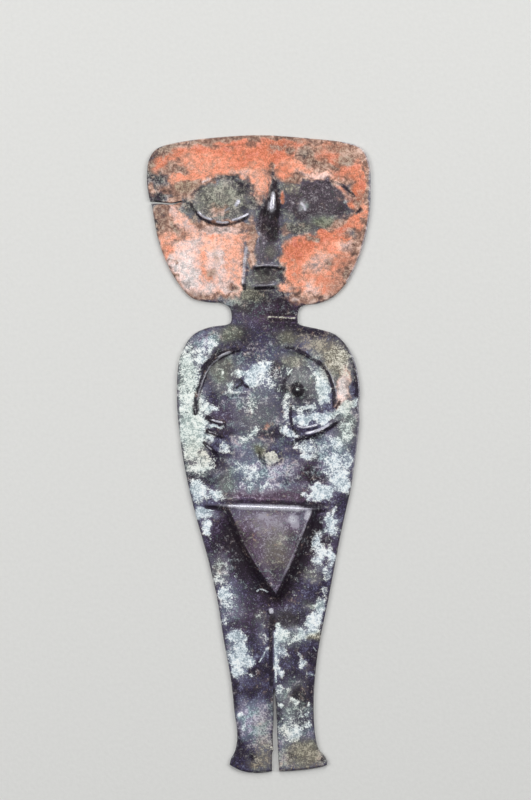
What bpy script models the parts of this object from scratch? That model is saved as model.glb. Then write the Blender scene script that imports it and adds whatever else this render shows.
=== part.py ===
"""Silver figurine: a standing woman hammered and chased out of one sheet of silver.

The figure is a flat plaque about 200 mm long. It lies on its back: X runs across
the figure, Y from the feet to the top of the head and Z out of its front. The
relief was pushed up from behind, so the back is hollow under every raised form
and flat on the ground between them. Lengths are in millimetres up to the last
step, which turns them to metres and sets the origin under the middle of the box.
"""

import math

import bmesh
import bpy
import numpy as np
from mathutils import Vector
from mathutils.geometry import delaunay_2d_cdt
from mathutils.kdtree import KDTree

MM = 0.001

# ---------------------------------------------------------------- driving dimensions
SHEET = 1.2               # thickness of the hammered sheet
EDGE_ROUND = 0.3          # how far the worn front arris is drawn in from the outline
EDGE_SIDE = 0.5           # share of the thickness that stays upright at the edge

EYE_RISE = 2.6
LID_RISE = 0.6
NOSE_RISE = 3.6
LIP_RISE = 0.9
ARM_RISE = 1.3
FINGER_RISE = 1.0
BREAST_RISE = 1.4
NIPPLE_RISE = 1.3
NAVEL_RISE = 0.5
BELLY_RISE = 1.7
CHEEK_RISE = 0.9
LEG_RISE = 1.1
LEG_GROOVE_DEPTH = 0.7
LEG_LIP_RISE = 0.5
TRIANGLE_RISE = 3.9
TRIANGLE_SLOPE = 2.8      # width of the steep wall round the raised triangle
TRIANGLE_HALO = 6.0       # width of the sunk border beyond that wall
CREST_RISE = 1.1          # fold along the triangle's upper side, above its face
HOLLOW_WALL = 0.8         # metal left beside a steep form, measured along the sheet

ARC_TURN = math.radians(13)   # most that the outline turns between two points
OUTLINE_STEP = 2.1            # longest straight piece of the outline
LINE_STEP = 1.7               # spacing of points along the relief's own lines
COARSE_STEP = 2.8             # spacing of the plain surface
FINE_STEP = 1.4               # spacing where the relief is steep
BACK_STEP = 3.8               # spacing of the plainer back
CLEARANCE = 0.62              # free points keep this share of their spacing to any line
CREASE = math.radians(22)     # sharper folds than this keep their edge

# ------------------------------------------------------------------ outline, by runs
# Each run is a smooth curve through its points, and runs meet in a corner. They go
# round the figure clockwise, from the crack in the head's left edge.
HEAD_TOP = [(-34.9, 80.6), (-35.6, 84.5), (-35.7, 89.0), (-34.9, 93.8), (-32.4, 97.1),
            (-27.0, 98.7), (-16.0, 100.0), (0.0, 100.5), (16.0, 99.0), (28.0, 97.2),
            (32.2, 95.2), (34.2, 91.0), (34.6, 86.0), (34.1, 76.0), (32.4, 67.5),
            (29.7, 60.0), (26.0, 53.2), (21.7, 49.0), (17.4, 47.2), (13.2, 46.8)]
RIGHT_NECK = [(13.2, 46.8), (11.4, 46.0), (10.6, 44.3), (10.4, 42.3), (10.8, 40.8), (12.4, 40.1)]
RIGHT_BODY = [(12.4, 40.1), (17.0, 39.0), (22.0, 37.2), (25.5, 33.6), (27.7, 29.6),
              (28.9, 24.5), (29.4, 18.6), (29.0, 15.9)]
RIGHT_FLANK = [(28.8, 15.6), (29.0, 10.0), (28.1, 3.0), (25.8, -10.5), (22.2, -25.0),
               (17.8, -45.0), (14.0, -61.8), (12.4, -73.5), (12.0, -81.5), (12.3, -88.5),
               (13.3, -93.1), (14.9, -94.9), (15.9, -97.0)]
RIGHT_FOOT = [(15.9, -97.0), (15.5, -98.1), (12.0, -98.9), (6.0, -99.5), (0.6, -99.6)]
RIGHT_INNER_LEG = [(0.6, -99.6), (0.4, -92.0), (0.3, -82.0), (0.1, -76.5), (-0.25, -73.3)]
LEFT_INNER_LEG = [(-0.25, -73.3), (-0.5, -77.0), (-0.6, -83.0), (-1.1, -88.5), (-1.0, -92.9)]
LEFT_NICK = [(-1.0, -92.9), (-1.45, -93.8), (-1.6, -99.5)]
LEFT_FOOT = [(-1.6, -99.5), (-6.0, -99.9), (-11.0, -99.2), (-14.9, -97.1)]
LEFT_FLANK = [(-14.9, -97.1), (-14.4, -95.2), (-13.0, -92.7), (-12.2, -88.0), (-12.9, -80.5),
              (-13.7, -70.5), (-15.6, -58.0), (-17.3, -45.0), (-19.9, -32.0), (-23.9, -16.0),
              (-26.6, -2.0), (-28.0, 11.0), (-28.2, 20.0), (-27.3, 30.0), (-25.0, 35.4),
              (-21.9, 38.8), (-17.2, 40.6), (-12.4, 41.1)]
LEFT_NECK = [(-12.4, 41.1), (-10.7, 41.8), (-10.3, 44.0), (-10.9, 46.6), (-13.4, 48.1)]
HEAD_LEFT = [(-13.4, 48.1), (-18.5, 48.6), (-22.9, 50.1), (-26.6, 54.4), (-29.9, 60.4),
             (-32.8, 69.0), (-34.5, 79.9)]
HEAD_CRACK = [(-34.5, 79.9), (-31.6, 79.8), (-28.0, 79.4), (-24.2, 80.5), (-28.0, 79.8),
              (-31.6, 80.3), (-34.9, 80.6)]

# ------------------------------------------------------------------- relief, by part
LEFT_EYE = dict(centre=(-12.8, 80.4), radii=(10.6, 7.9))
RIGHT_EYE = dict(centre=(17.8, 78.4), radii=(10.7, 8.2))
CHEEKS = (dict(centre=(-18.5, 61.5), radii=(11.0, 10.5)), dict(centre=(18.5, 61.0), radii=(11.5, 10.5)))
LEFT_LID = [(-20.4, 77.4), (-17.0, 74.5), (-12.0, 73.2), (-7.5, 74.0), (-3.4, 75.8)]
RIGHT_LID = [(19.0, 86.0), (24.3, 84.6), (28.5, 81.6), (31.3, 76.8)]
LID_HALF = 0.9
# along the nose: x, y, half-width, share of its full rise
NOSE = [(3.9, 88.5, 0.9, 0.10), (3.8, 84.5, 1.5, 0.62), (3.5, 79.5, 2.3, 1.0), (3.0, 75.0, 2.6, 0.92),
        (2.0, 69.0, 3.0, 0.55), (0.8, 61.0, 3.6, 0.12)]
UPPER_LIP = [(-4.3, 59.2), (1.5, 59.4), (7.2, 58.6)]
LOWER_LIP = [(-3.3, 53.2), (0.6, 53.0), (4.2, 53.3)]
LIP_HALF = 1.1
LEFT_ARM = [(-7.3, 33.6), (-12.5, 32.4), (-17.6, 29.2), (-19.8, 24.4), (-22.0, 19.0), (-22.5, 12.5)]
RIGHT_ARM = [(5.2, 33.3), (11.0, 31.8), (17.4, 27.7), (20.2, 21.8), (21.3, 16.5), (20.8, 11.4)]
ARM_HALF = 1.1
LEFT_FINGERS = ([(-19.8, 12.5), (-13.4, 9.3)], [(-20.1, 8.4), (-14.6, 6.3)], [(-20.5, 4.8), (-15.8, 1.0)])
RIGHT_FOREARM = [(23.2, 11.0), (19.3, 8.4), (13.8, 5.9), (7.3, 4.0)]
RIGHT_HAND = [(7.5, 16.0), (7.7, 12.0), (8.4, 6.6)]
RIGHT_THUMB = [(16.0, 8.9), (12.2, 8.2)]
FINGER_HALF = 0.9
BREASTS = (dict(centre=(11.5, 19.3), radii=(6.8, 6.8)), dict(centre=(-8.2, 21.6), radii=(6.4, 6.4)))
NIPPLE = dict(centre=(9.6, 19.9), radii=(1.9, 1.9))
NAVEL = dict(centre=(0.7, -0.7), radii=(3.0, 3.0))
BELLY = dict(centre=(0.6, 9.0), radii=(24.0, 33.0))
LEFT_LEG = [(-9.5, -22.0), (-8.6, -50.0), (-7.2, -74.0), (-6.9, -92.0)]
RIGHT_LEG = [(9.0, -22.0), (8.2, -50.0), (6.4, -74.0), (6.4, -92.0)]
LEG_HALF = 5.2
LEG_GROOVE = [(-0.5, -49.6), (-0.9, -60.0), (-0.6, -72.4)]
LEG_GROOVE_HALF = 0.9
LEG_LIP = [(0.8, -55.6), (0.6, -64.0), (0.8, -72.6)]   # the right leg's edge stands over the left's
LEG_LIP_HALF = 1.0
TRIANGLE_CORNERS = ((-12.7, -15.6), (12.9, -17.3), (1.2, -43.1))
TRIANGLE_BOWS = (0.0, 0.8, 1.4)   # how far each side, from its corner on, swells outward
CREST = [(-20.5, -14.8), TRIANGLE_CORNERS[0], TRIANGLE_CORNERS[1], (18.7, -16.9)]
CREST_HALF = 1.3

SILVER = (0.36, 0.33, 0.36, 1.0)   # tarnished, grey with a little plum


# ------------------------------------------------------------------------- plan curves
def smooth_curve(knots, step, turn=ARC_TURN):
    """Points on a Catmull-Rom curve through knots, closer together where it turns."""
    knots = [Vector(k) for k in knots]
    if len(knots) == 2:
        count = max(1, math.ceil((knots[1] - knots[0]).length / step))
        return [knots[0].lerp(knots[1], i / count) for i in range(count + 1)]
    ends = [2 * knots[0] - knots[1]] + knots + [2 * knots[-1] - knots[-2]]
    points = []
    for before, start, end, after in zip(ends, ends[1:], ends[2:], ends[3:]):
        span = (end - start).length
        bend = (end - before).angle(after - start, 0.0) if span else 0.0
        count = max(1, math.ceil(span / step), math.ceil(bend / turn))
        pull = [span * (end - before) / ((start - before).length + span),
                span * (after - start) / ((after - end).length + span)]
        for i in range(count):
            t = i / count
            points.append((2 * t**3 - 3 * t**2 + 1) * start + (t**3 - 2 * t**2 + t) * pull[0]
                          + (3 * t**2 - 2 * t**3) * end + (t**3 - t**2) * pull[1])
    return points + [knots[-1]]


def figure_outline():
    """The closed outline of the sheet, clockwise, without its first point repeated."""
    runs = (HEAD_TOP, RIGHT_NECK, RIGHT_BODY, RIGHT_FLANK, RIGHT_FOOT, RIGHT_INNER_LEG, LEFT_INNER_LEG,
            LEFT_NICK, LEFT_FOOT, LEFT_FLANK, LEFT_NECK, HEAD_LEFT, HEAD_CRACK)
    outline = []
    for run in runs:
        straight = run is HEAD_CRACK or run is LEFT_NICK
        curve = [Vector(p) for p in run] if straight else smooth_curve(run, OUTLINE_STEP)
        outline += curve[1:] if outline and (curve[0] - outline[-1]).length < 0.01 else curve
    return outline[:-1]


def drawn_in(outline, distance):
    """The outline moved into the metal by distance, square to its edge."""
    moved = []
    for before, here, after in zip(outline[-1:] + outline[:-1], outline, outline[1:] + outline[:1]):
        normals = [Vector((b.y, -b.x)).normalized() for b in (here - before, after - here)]
        across = (normals[0] + normals[1]).normalized()
        moved.append(here + across * distance / max(0.6, across.dot(normals[0])))
    return moved


def triangle_edge():
    """The raised triangle's plan, each side a shallow bow between two corners."""
    edge = []
    for i, bow in enumerate(TRIANGLE_BOWS):
        start, end = Vector(TRIANGLE_CORNERS[i]), Vector(TRIANGLE_CORNERS[(i + 1) % 3])
        side = end - start
        outward = Vector((-side.y, side.x)).normalized()
        edge += smooth_curve([start, (start + end) / 2 + bow * outward, end], LINE_STEP)[:-1]
    return edge


# ---------------------------------------------------------------------- relief heights
def bell(distance):
    """1 at 0 falling smoothly to 0 at 1 and beyond."""
    return 0.5 + 0.5 * np.cos(np.pi * np.clip(np.abs(distance), 0.0, 1.0))


def dome(x, y, centre, radii, soft=False):
    """A raised oval: round on top, meeting the sheet in a crease, or softly."""
    reach = ((x - centre[0]) / radii[0])**2 + ((y - centre[1]) / radii[1])**2
    return bell(np.sqrt(reach)) if soft else np.clip(1.0 - reach, 0.0, 1.0)


def along_path(x, y, path, closed=False):
    """Distance from a path, and the place along it in segments, for each point."""
    nearest = np.full(np.shape(x), np.inf)
    place = np.zeros(np.shape(x))
    ends = path[1:] + path[:1] if closed else path[1:]
    for i, (start, end) in enumerate(zip(path, ends)):
        run = (end[0] - start[0], end[1] - start[1])
        share = ((x - start[0]) * run[0] + (y - start[1]) * run[1]) / (run[0]**2 + run[1]**2)
        share = np.clip(share, 0.0, 1.0)
        gap = np.hypot(x - start[0] - share * run[0], y - start[1] - share * run[1])
        closer = gap < nearest
        nearest = np.where(closer, gap, nearest)
        place = np.where(closer, i + share, place)
    return nearest, place


def ridge(x, y, path, half, taper=0.12, straight=False):
    """A rounded bar along a path, running out at both ends over a share of its length."""
    curve = path if straight else smooth_curve(path, LINE_STEP)
    gap, place = along_path(x, y, curve)
    share = place / (len(curve) - 1)
    ends = np.clip(np.minimum(share, 1.0 - share) / taper, 0.25, 1.0)
    return bell(gap / half) * ends


def nose(x, y):
    """The nose: a drop-shaped wedge, sharpest between the eyes and low above the lip."""
    curve = smooth_curve(NOSE, LINE_STEP)
    gap, place = along_path(x, y, curve)
    half = np.interp(place, range(len(curve)), [n[2] for n in curve])
    rise = np.interp(place, range(len(curve)), [n[3] for n in curve])
    return rise * np.clip(1.0 - (gap / half)**2, 0.0, 1.0)


def outside_triangle(x, y):
    """Distance beyond the raised triangle's edge, and 0 on its face."""
    edge = triangle_edge()
    gap, _ = along_path(x, y, edge, closed=True)
    inside = np.zeros(np.shape(x), dtype=bool)
    for start, end in zip(edge, edge[1:] + edge[:1]):
        spans = (start.y > y) != (end.y > y)
        with np.errstate(divide="ignore", invalid="ignore"):
            crossing = start.x + (y - start.y) * (end.x - start.x) / (end.y - start.y)
        inside ^= spans & (x < crossing)
    return np.where(inside, 0.0, gap)


def relief(x, y):
    """Height of the front above the plain sheet, in millimetres."""
    beyond = outside_triangle(x, y)
    height = BELLY_RISE * dome(x, y, **BELLY, soft=True)
    for leg in (LEFT_LEG, RIGHT_LEG):
        height = np.maximum(height, LEG_RISE * ridge(x, y, leg, LEG_HALF))
    height *= 1.0 - 0.85 * bell(beyond / TRIANGLE_HALO)
    for cheek in CHEEKS:
        height += CHEEK_RISE * dome(x, y, **cheek, soft=True)
    for eye in (LEFT_EYE, RIGHT_EYE):
        height += EYE_RISE * dome(x, y, **eye)
    for lid in (LEFT_LID, RIGHT_LID):
        height += LID_RISE * ridge(x, y, lid, LID_HALF)
    for lip in (UPPER_LIP, LOWER_LIP):
        height += LIP_RISE * ridge(x, y, lip, LIP_HALF)
    for breast in BREASTS:
        height += BREAST_RISE * dome(x, y, **breast)
    height += NIPPLE_RISE * dome(x, y, **NIPPLE)
    height += NAVEL_RISE * dome(x, y, **NAVEL)
    for arm in (LEFT_ARM, RIGHT_ARM):
        height += ARM_RISE * ridge(x, y, arm, ARM_HALF)
    for finger in LEFT_FINGERS + (RIGHT_FOREARM, RIGHT_HAND, RIGHT_THUMB):
        height += FINGER_RISE * ridge(x, y, finger, FINGER_HALF)
    height += LEG_LIP_RISE * ridge(x, y, LEG_LIP, LEG_LIP_HALF)
    height -= LEG_GROOVE_DEPTH * ridge(x, y, LEG_GROOVE, LEG_GROOVE_HALF)
    height = np.maximum(height, NOSE_RISE * nose(x, y))
    height += TRIANGLE_RISE * bell(beyond / TRIANGLE_SLOPE)
    return height + CREST_RISE * ridge(x, y, CREST, CREST_HALF, taper=0.9, straight=True)


def hollow(x, y):
    """Height of the back: the sheet follows the front, and its walls keep their metal."""
    lowest = relief(x, y)
    for i in range(8):
        angle = i * math.tau / 8
        lowest = np.minimum(lowest, relief(x + HOLLOW_WALL * math.cos(angle), y + HOLLOW_WALL * math.sin(angle)))
    return np.clip(lowest, 0.0, None)


# --------------------------------------------------------------------------- plan mesh
def side_lines(path, half=None):
    """A path's crest line and the lines along its feet; its knots may carry a half-width."""
    curve = smooth_curve(path, LINE_STEP)
    crest = [p.to_2d() for p in curve]
    lines = [crest]
    for side in (-1, 1):
        foot = []
        for i, (before, after) in enumerate(zip(crest[:1] + crest[:-1], crest[1:] + crest[-1:])):
            along = (after - before).normalized()
            foot.append(crest[i] + side * (half or curve[i][2]) * Vector((-along.y, along.x)))
        lines.append(foot)
    return lines


def ring(centre, radii, share=1.0):
    """An oval line at a share of its radii, closed."""
    around = math.pi * share * (radii[0] + radii[1])
    count = max(10, round(around / LINE_STEP))
    turn = math.tau / count
    points = [Vector((centre[0] + share * radii[0] * math.cos(i * turn),
                      centre[1] + share * radii[1] * math.sin(i * turn))) for i in range(count)]
    return points + points[:1]


def relief_lines():
    """Lines that the front's triangles follow, so that every form keeps its edge."""
    lines = []
    for path in (LEFT_ARM, RIGHT_ARM):
        lines += side_lines(path, ARM_HALF)
    for path in LEFT_FINGERS + (RIGHT_FOREARM, RIGHT_HAND):
        lines += side_lines(path, FINGER_HALF)
    for path in (UPPER_LIP, LOWER_LIP):
        lines += side_lines(path, LIP_HALF)
    for path in (LEFT_LID, RIGHT_LID, LEG_LIP):
        lines.append(smooth_curve(path, LINE_STEP))
    lines += side_lines(LEG_GROOVE, LEG_GROOVE_HALF)[:2]
    lines += side_lines(NOSE)
    for eye in (LEFT_EYE, RIGHT_EYE):
        lines.append(ring(**eye))
    for breast in BREASTS:
        lines.append(ring(**breast))
    lines.append(ring(**NAVEL))
    lines.append(ring(**NIPPLE))
    for share in (0.0, TRIANGLE_SLOPE / 2, TRIANGLE_SLOPE):
        level = drawn_in(triangle_edge(), -share)
        lines.append(level + level[:1])
    for tip, corner in (CREST[:2], CREST[:1:-1]):
        lines.append(smooth_curve([tip, corner], LINE_STEP))
    return lines


def hollow_lines():
    """Lines that the back's triangles follow round the deepest hollows."""
    lines = side_lines(NOSE) + [ring(**LEFT_EYE), ring(**RIGHT_EYE)]
    for out in (-HOLLOW_WALL, TRIANGLE_SLOPE / 2 - HOLLOW_WALL, TRIANGLE_SLOPE - HOLLOW_WALL):
        level = drawn_in(triangle_edge(), -out)
        lines.append(level + level[:1])
    return lines


def steep_zone(x, y):
    """Where the front needs the fine spacing, for arrays of points."""
    zone = dome(x, y, LEFT_EYE["centre"], (11.5, 9.0)) + dome(x, y, RIGHT_EYE["centre"], (11.5, 9.0))
    zone += dome(x, y, (3.0, 74.0), (4.5, 16.0)) + dome(x, y, (0.8, 56.3), (7.5, 6.0))
    arms_and_breasts = dome(x, y, (0.5, 19.0), (26.0, 18.0)) * (relief(x, y) > BELLY_RISE + 0.25)
    beyond = outside_triangle(x, y)
    return (zone + arms_and_breasts > 0) | ((beyond > 0) & (beyond < TRIANGLE_SLOPE + 1.5))


def everywhere(x, y):
    """The whole surface, for arrays of points."""
    return np.ones(np.shape(x), dtype=bool)


def plan_points(outline, lines, spacing):
    """Free points between the outline and the lines, on rows of even triangles."""
    fixed = outline + [p for line in lines for p in line]
    tree = KDTree(len(fixed))
    for i, point in enumerate(fixed):
        tree.insert(point.to_3d(), i)
    tree.balance()
    low, high = np.min(outline, axis=0), np.max(outline, axis=0)
    points = []
    for step, zone in spacing:
        rows = np.arange(low[1], high[1], step * math.sqrt(0.75))
        x, y = np.meshgrid(np.arange(low[0], high[0], step), rows)
        x[1::2] += step / 2
        wanted = zone(x, y)
        for px, py in zip(x[wanted], y[wanted]):
            if tree.find(Vector((px, py, 0.0)))[2] > CLEARANCE * step:
                points.append(Vector((px, py)))
    return points


def plan_triangles(outline, lines, spacing):
    """Triangles that fill the outline and follow the lines; their points in plan."""
    points = list(outline)
    edges = [(i, (i + 1) % len(outline)) for i in range(len(outline))]
    for line in lines:
        closed = (line[0] - line[-1]).length < 1e-6
        body = line[:-1] if closed else line
        first = len(points)
        points += body
        edges += [(first + i, first + i + 1) for i in range(len(body) - 1)]
        if closed:
            edges.append((first + len(body) - 1, first))
    points += plan_points(outline, lines, spacing)
    face = list(range(len(outline)))
    points, _, triangles, sources, _, _ = delaunay_2d_cdt(points, edges, [face], 1, 1e-4)
    places = {source: i for i, sources_here in enumerate(sources) for source in sources_here}
    return points, triangles, [places[i] for i in face]


# ------------------------------------------------------------------------------- solid
def add_surface(mesh, plan, height, facing):
    """Add one side of the sheet at its heights and return its outline's vertices."""
    points, triangles, border = plan
    x, y = np.array([p.x for p in points]), np.array([p.y for p in points])
    heights = height(x, y)
    heights[border] = SHEET if facing > 0 else 0.0
    vertices = [mesh.verts.new((px, py, pz)) for px, py, pz in zip(x, y, heights)]
    for triangle in triangles:
        corners = [vertices[i] for i in triangle]
        across = (corners[1].co - corners[0].co).to_2d().cross((corners[2].co - corners[0].co).to_2d())
        mesh.faces.new(corners if across * facing > 0 else corners[::-1])
    return [vertices[i] for i in border]


def add_band(mesh, lower, upper):
    """Join two rings of vertices that run clockwise, lower below upper, by triangles."""
    for i, (a, d) in enumerate(zip(lower, upper)):
        j = (i + 1) % len(lower)
        mesh.faces.new((a, d, upper[j]))
        mesh.faces.new((a, upper[j], lower[j]))


def build_figure():
    """The whole figure as one closed mesh, in millimetres."""
    outline = figure_outline()
    front_outline = drawn_in(outline, EDGE_ROUND)
    mesh = bmesh.new()
    front = plan_triangles(front_outline, relief_lines(),
                           ((FINE_STEP, steep_zone), (COARSE_STEP, lambda x, y: ~steep_zone(x, y))))
    back = plan_triangles(outline, hollow_lines(), ((BACK_STEP, everywhere),))
    front_border = add_surface(mesh, front, lambda x, y: SHEET + relief(x, y), 1)
    back_border = add_surface(mesh, back, hollow, -1)
    side = [mesh.verts.new((p.x, p.y, EDGE_SIDE * SHEET)) for p in outline]
    add_band(mesh, back_border, side)
    add_band(mesh, side, front_border)
    loose = [v for v in mesh.verts if not v.link_faces]
    bmesh.ops.delete(mesh, geom=loose, context="VERTS")
    return mesh


def centre_and_scale(mesh):
    """Set the origin under the middle of the box, on the ground, in metres."""
    low = [min(v.co[a] for v in mesh.verts) for a in (0, 1)]
    high = [max(v.co[a] for v in mesh.verts) for a in (0, 1)]
    middle = Vector(((low[0] + high[0]) / 2, (low[1] + high[1]) / 2, 0.0))
    for vertex in mesh.verts:
        vertex.co = (vertex.co - middle) * MM


def silver():
    """Old silver: darkened metal, dull where tarnish has settled."""
    material = bpy.data.materials.new("tarnished_silver")
    material.use_nodes = True
    shader = material.node_tree.nodes["Principled BSDF"]
    shader.inputs["Base Color"].default_value = SILVER
    shader.inputs["Metallic"].default_value = 0.9
    shader.inputs["Roughness"].default_value = 0.5
    return material


def main():
    """Clear the scene and build the figure as one named object."""
    for thing in list(bpy.data.objects):
        bpy.data.objects.remove(thing, do_unlink=True)
    solid = build_figure()
    centre_and_scale(solid)
    data = bpy.data.meshes.new("silver_figurine")
    solid.to_mesh(data)
    solid.free()
    data.shade_smooth()
    data.set_sharp_from_angle(angle=CREASE)
    data.materials.append(silver())
    figure = bpy.data.objects.new("silver_figurine", data)
    bpy.context.scene.collection.objects.link(figure)


main()
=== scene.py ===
"""Looks of the silver figurine: fine relief, old patina and worn paint on the hammered sheet.

The figure lies on its back on a pale studio floor. One piece takes the place of the
solid: a merged copy of it, cut into small faces and raised again to the finer relief.
Plan lengths are in millimetres from the figure's own middle line, as on the solid.
Left and right are those of someone who looks at the figure's front.
"""

from __future__ import annotations

import logging
import math
from collections.abc import Sequence
from dataclasses import dataclass
from enum import Enum

import bmesh
import bpy
import numpy as np
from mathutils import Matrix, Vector, noise


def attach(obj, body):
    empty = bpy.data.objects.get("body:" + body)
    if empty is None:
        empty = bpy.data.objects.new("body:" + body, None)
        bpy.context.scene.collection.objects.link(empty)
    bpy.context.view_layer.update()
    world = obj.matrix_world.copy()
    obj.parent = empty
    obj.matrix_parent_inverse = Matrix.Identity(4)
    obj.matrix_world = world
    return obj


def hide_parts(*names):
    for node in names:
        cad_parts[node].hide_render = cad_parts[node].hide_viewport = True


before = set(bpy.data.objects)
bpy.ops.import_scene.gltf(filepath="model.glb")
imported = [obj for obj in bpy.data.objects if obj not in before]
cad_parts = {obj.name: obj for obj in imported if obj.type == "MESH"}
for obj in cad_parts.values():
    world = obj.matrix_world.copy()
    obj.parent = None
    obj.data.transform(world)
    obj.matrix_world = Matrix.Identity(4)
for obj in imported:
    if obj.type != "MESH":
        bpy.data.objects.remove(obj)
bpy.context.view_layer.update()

LOG = logging.getLogger("figurine")
MM = 0.001
NODE = "silver_figurine"
PLAN_MIDDLE = (-0.578, 0.321)   # the middle of the solid's box, in the figure's plan
SHEET = 1.2                     # thickness of the sheet
TIP_HEIGHT = 0.25               # what is left of a ridge's height at its two ends
SWELL_GAIN = 1.6                # brings the noise's swells to about 1 and -1
LINE_GAIN, LINE_LOSS = 2.2, 0.35    # how crisply a stroke's colour ends beside its line

Point = tuple[float, float]
Path = tuple[Point, ...]
Rows = tuple[tuple[float, ...], ...]
Stops = tuple[tuple[float, str], ...]    # places along a colour ramp and their colours


# ------------------------------------------------------------------------ small helpers
def linear(code: str) -> tuple[float, float, float, float]:
    """Turn an sRGB colour written as hex into linear RGBA.

    Args:
        code: six hex digits, with or without a leading hash.

    Returns:
        Linear red, green and blue, with alpha 1.
    """
    channels = [int(code.lstrip("#")[i:i + 2], 16) / 255 for i in (0, 2, 4)]
    return tuple(c / 12.92 if c <= 0.04045 else ((c + 0.055) / 1.055)**2.4 for c in channels) + (1.0,)


def add_node(tree: bpy.types.NodeTree, kind: str, inputs: dict | None = None, stops: Stops = (),
             **settings: object) -> bpy.types.Node:
    """Add a node to a tree, with its settings, values and links.

    Args:
        tree: the tree that gets the node.
        kind: the node's type name.
        inputs: a socket to link or a value to set, by the input's name, or its index, as names can repeat.
        stops: the colours along it, where it has a colour ramp.
        settings: properties of the node itself.

    Returns:
        The new node.
    """
    node = tree.nodes.new(kind)
    for name, value in settings.items():
        setattr(node, name, value)
    for key, value in (inputs or {}).items():
        if isinstance(value, bpy.types.NodeSocket):
            tree.links.new(value, node.inputs[key])
        else:
            node.inputs[key].default_value = value
    if stops:
        elements = node.color_ramp.elements
        while len(elements) < len(stops):
            elements.new(0.5)
        for element, (position, code) in zip(elements, stops):
            element.position = position
            element.color = linear(code)
    return node


def bell(distance: np.ndarray) -> np.ndarray:
    """1 at 0, falling smoothly to 0 at 1 and beyond."""
    return 0.5 + 0.5 * np.cos(np.pi * np.clip(np.abs(distance), 0.0, 1.0))


def dome(x: np.ndarray, y: np.ndarray, centre: Point, radii: Point, soft: bool = False) -> np.ndarray:
    """Work out a raised oval of height 1.

    Args:
        x: plan positions across the figure.
        y: plan positions along the figure.
        centre: the oval's middle.
        radii: its half-sizes along x and y.
        soft: whether it runs out softly instead of meeting the sheet in a crease.

    Returns:
        The height at each position.
    """
    reach = ((x - centre[0]) / radii[0])**2 + ((y - centre[1]) / radii[1])**2
    return bell(np.sqrt(reach)) if soft else np.clip(1.0 - reach, 0.0, 1.0)


def smooth_curve(knots: Sequence, step: float = 1.2) -> list[Vector]:
    """Put points on a Catmull-Rom curve through knots.

    Args:
        knots: the points it goes through; further values at a point are carried along.
        step: the longest piece.

    Returns:
        The curve's points, the knots among them.
    """
    knots = [Vector(k) for k in knots]
    ends = [2 * knots[0] - knots[1]] + knots + [2 * knots[-1] - knots[-2]]
    points = []
    for before, start, end, after in zip(ends, ends[1:], ends[2:], ends[3:]):
        span = (end - start).length
        count = max(1, math.ceil(span / step))
        pull = [span * (end - before) / ((start - before).length + span),
                span * (after - start) / ((after - end).length + span)]
        for i in range(count):
            t = i / count
            points.append((2 * t**3 - 3 * t**2 + 1) * start + (t**3 - 2 * t**2 + t) * pull[0]
                          + (3 * t**2 - 2 * t**3) * end + (t**3 - t**2) * pull[1])
    return points + [knots[-1]]


def along_path(x: np.ndarray, y: np.ndarray, path: Sequence,
               closed: bool = False) -> tuple[np.ndarray, np.ndarray]:
    """Measure each position's distance from a path, and its place along it.

    Args:
        x: plan positions across the figure.
        y: plan positions along the figure.
        path: the path's points.
        closed: whether its last point joins its first.

    Returns:
        The distance in millimetres, and the place counted in segments.
    """
    nearest = np.full(np.shape(x), np.inf)
    place = np.zeros(np.shape(x))
    ends = path[1:] + path[:1] if closed else path[1:]
    for i, (start, end) in enumerate(zip(path, ends)):
        run = (end[0] - start[0], end[1] - start[1])
        share = ((x - start[0]) * run[0] + (y - start[1]) * run[1]) / (run[0]**2 + run[1]**2)
        share = np.clip(share, 0.0, 1.0)
        gap = np.hypot(x - start[0] - share * run[0], y - start[1] - share * run[1])
        closer = gap < nearest
        nearest = np.where(closer, gap, nearest)
        place = np.where(closer, i + share, place)
    return nearest, place


def ridge(x: np.ndarray, y: np.ndarray, path: Path, half: float, taper: float = 0.12,
          straight: bool = False) -> np.ndarray:
    """Work out a rounded bar of height 1 along a path, lowest at its two ends.

    Args:
        x: plan positions across the figure.
        y: plan positions along the figure.
        path: the points its crest goes through.
        half: half its width.
        taper: the share of its length over which each end falls.
        straight: whether the crest keeps to straight lines between its points.

    Returns:
        The height at each position.
    """
    curve = path if straight else smooth_curve(path)
    gap, place = along_path(x, y, curve)
    share = place / (len(curve) - 1)
    ends = np.clip(np.minimum(share, 1.0 - share) / taper, TIP_HEIGHT, 1.0)
    return bell(gap / half) * ends


def cloud(x: np.ndarray, y: np.ndarray, size: float, seed: float, octaves: int = 3) -> np.ndarray:
    """Work out irregular swells over the plan, the same on every run.

    Args:
        x: plan positions across the figure.
        y: plan positions along the figure.
        size: how far apart the largest swells stand, in millimetres.
        seed: which pattern.
        octaves: how many finer layers it has, each half the size of the one before.

    Returns:
        A value for each position, mostly between -1 and 1.
    """
    places = np.column_stack((x, y)) / size
    return np.array([noise.fractal((px, py, seed), 1.0, 2.0, octaves) for px, py in places]) * SWELL_GAIN


# ------------------------------------------------------------------------------- relief
@dataclass(frozen=True)
class Boss:
    """A raised oval, hammered out from behind, in plan millimetres."""

    centre: Point
    radii: Point
    rise: float
    soft: bool = False       # whether it runs out softly instead of in a crease

    def height(self, x: np.ndarray, y: np.ndarray) -> np.ndarray:
        """Its height at each position."""
        return self.rise * dome(x, y, self.centre, self.radii, self.soft)


@dataclass(frozen=True)
class Bar:
    """A raised bar, or a groove where its rise is negative, in plan millimetres."""

    half: float
    rise: float
    path: Path

    def height(self, x: np.ndarray, y: np.ndarray) -> np.ndarray:
        """Its height at each position."""
        return self.rise * ridge(x, y, self.path, self.half)


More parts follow.
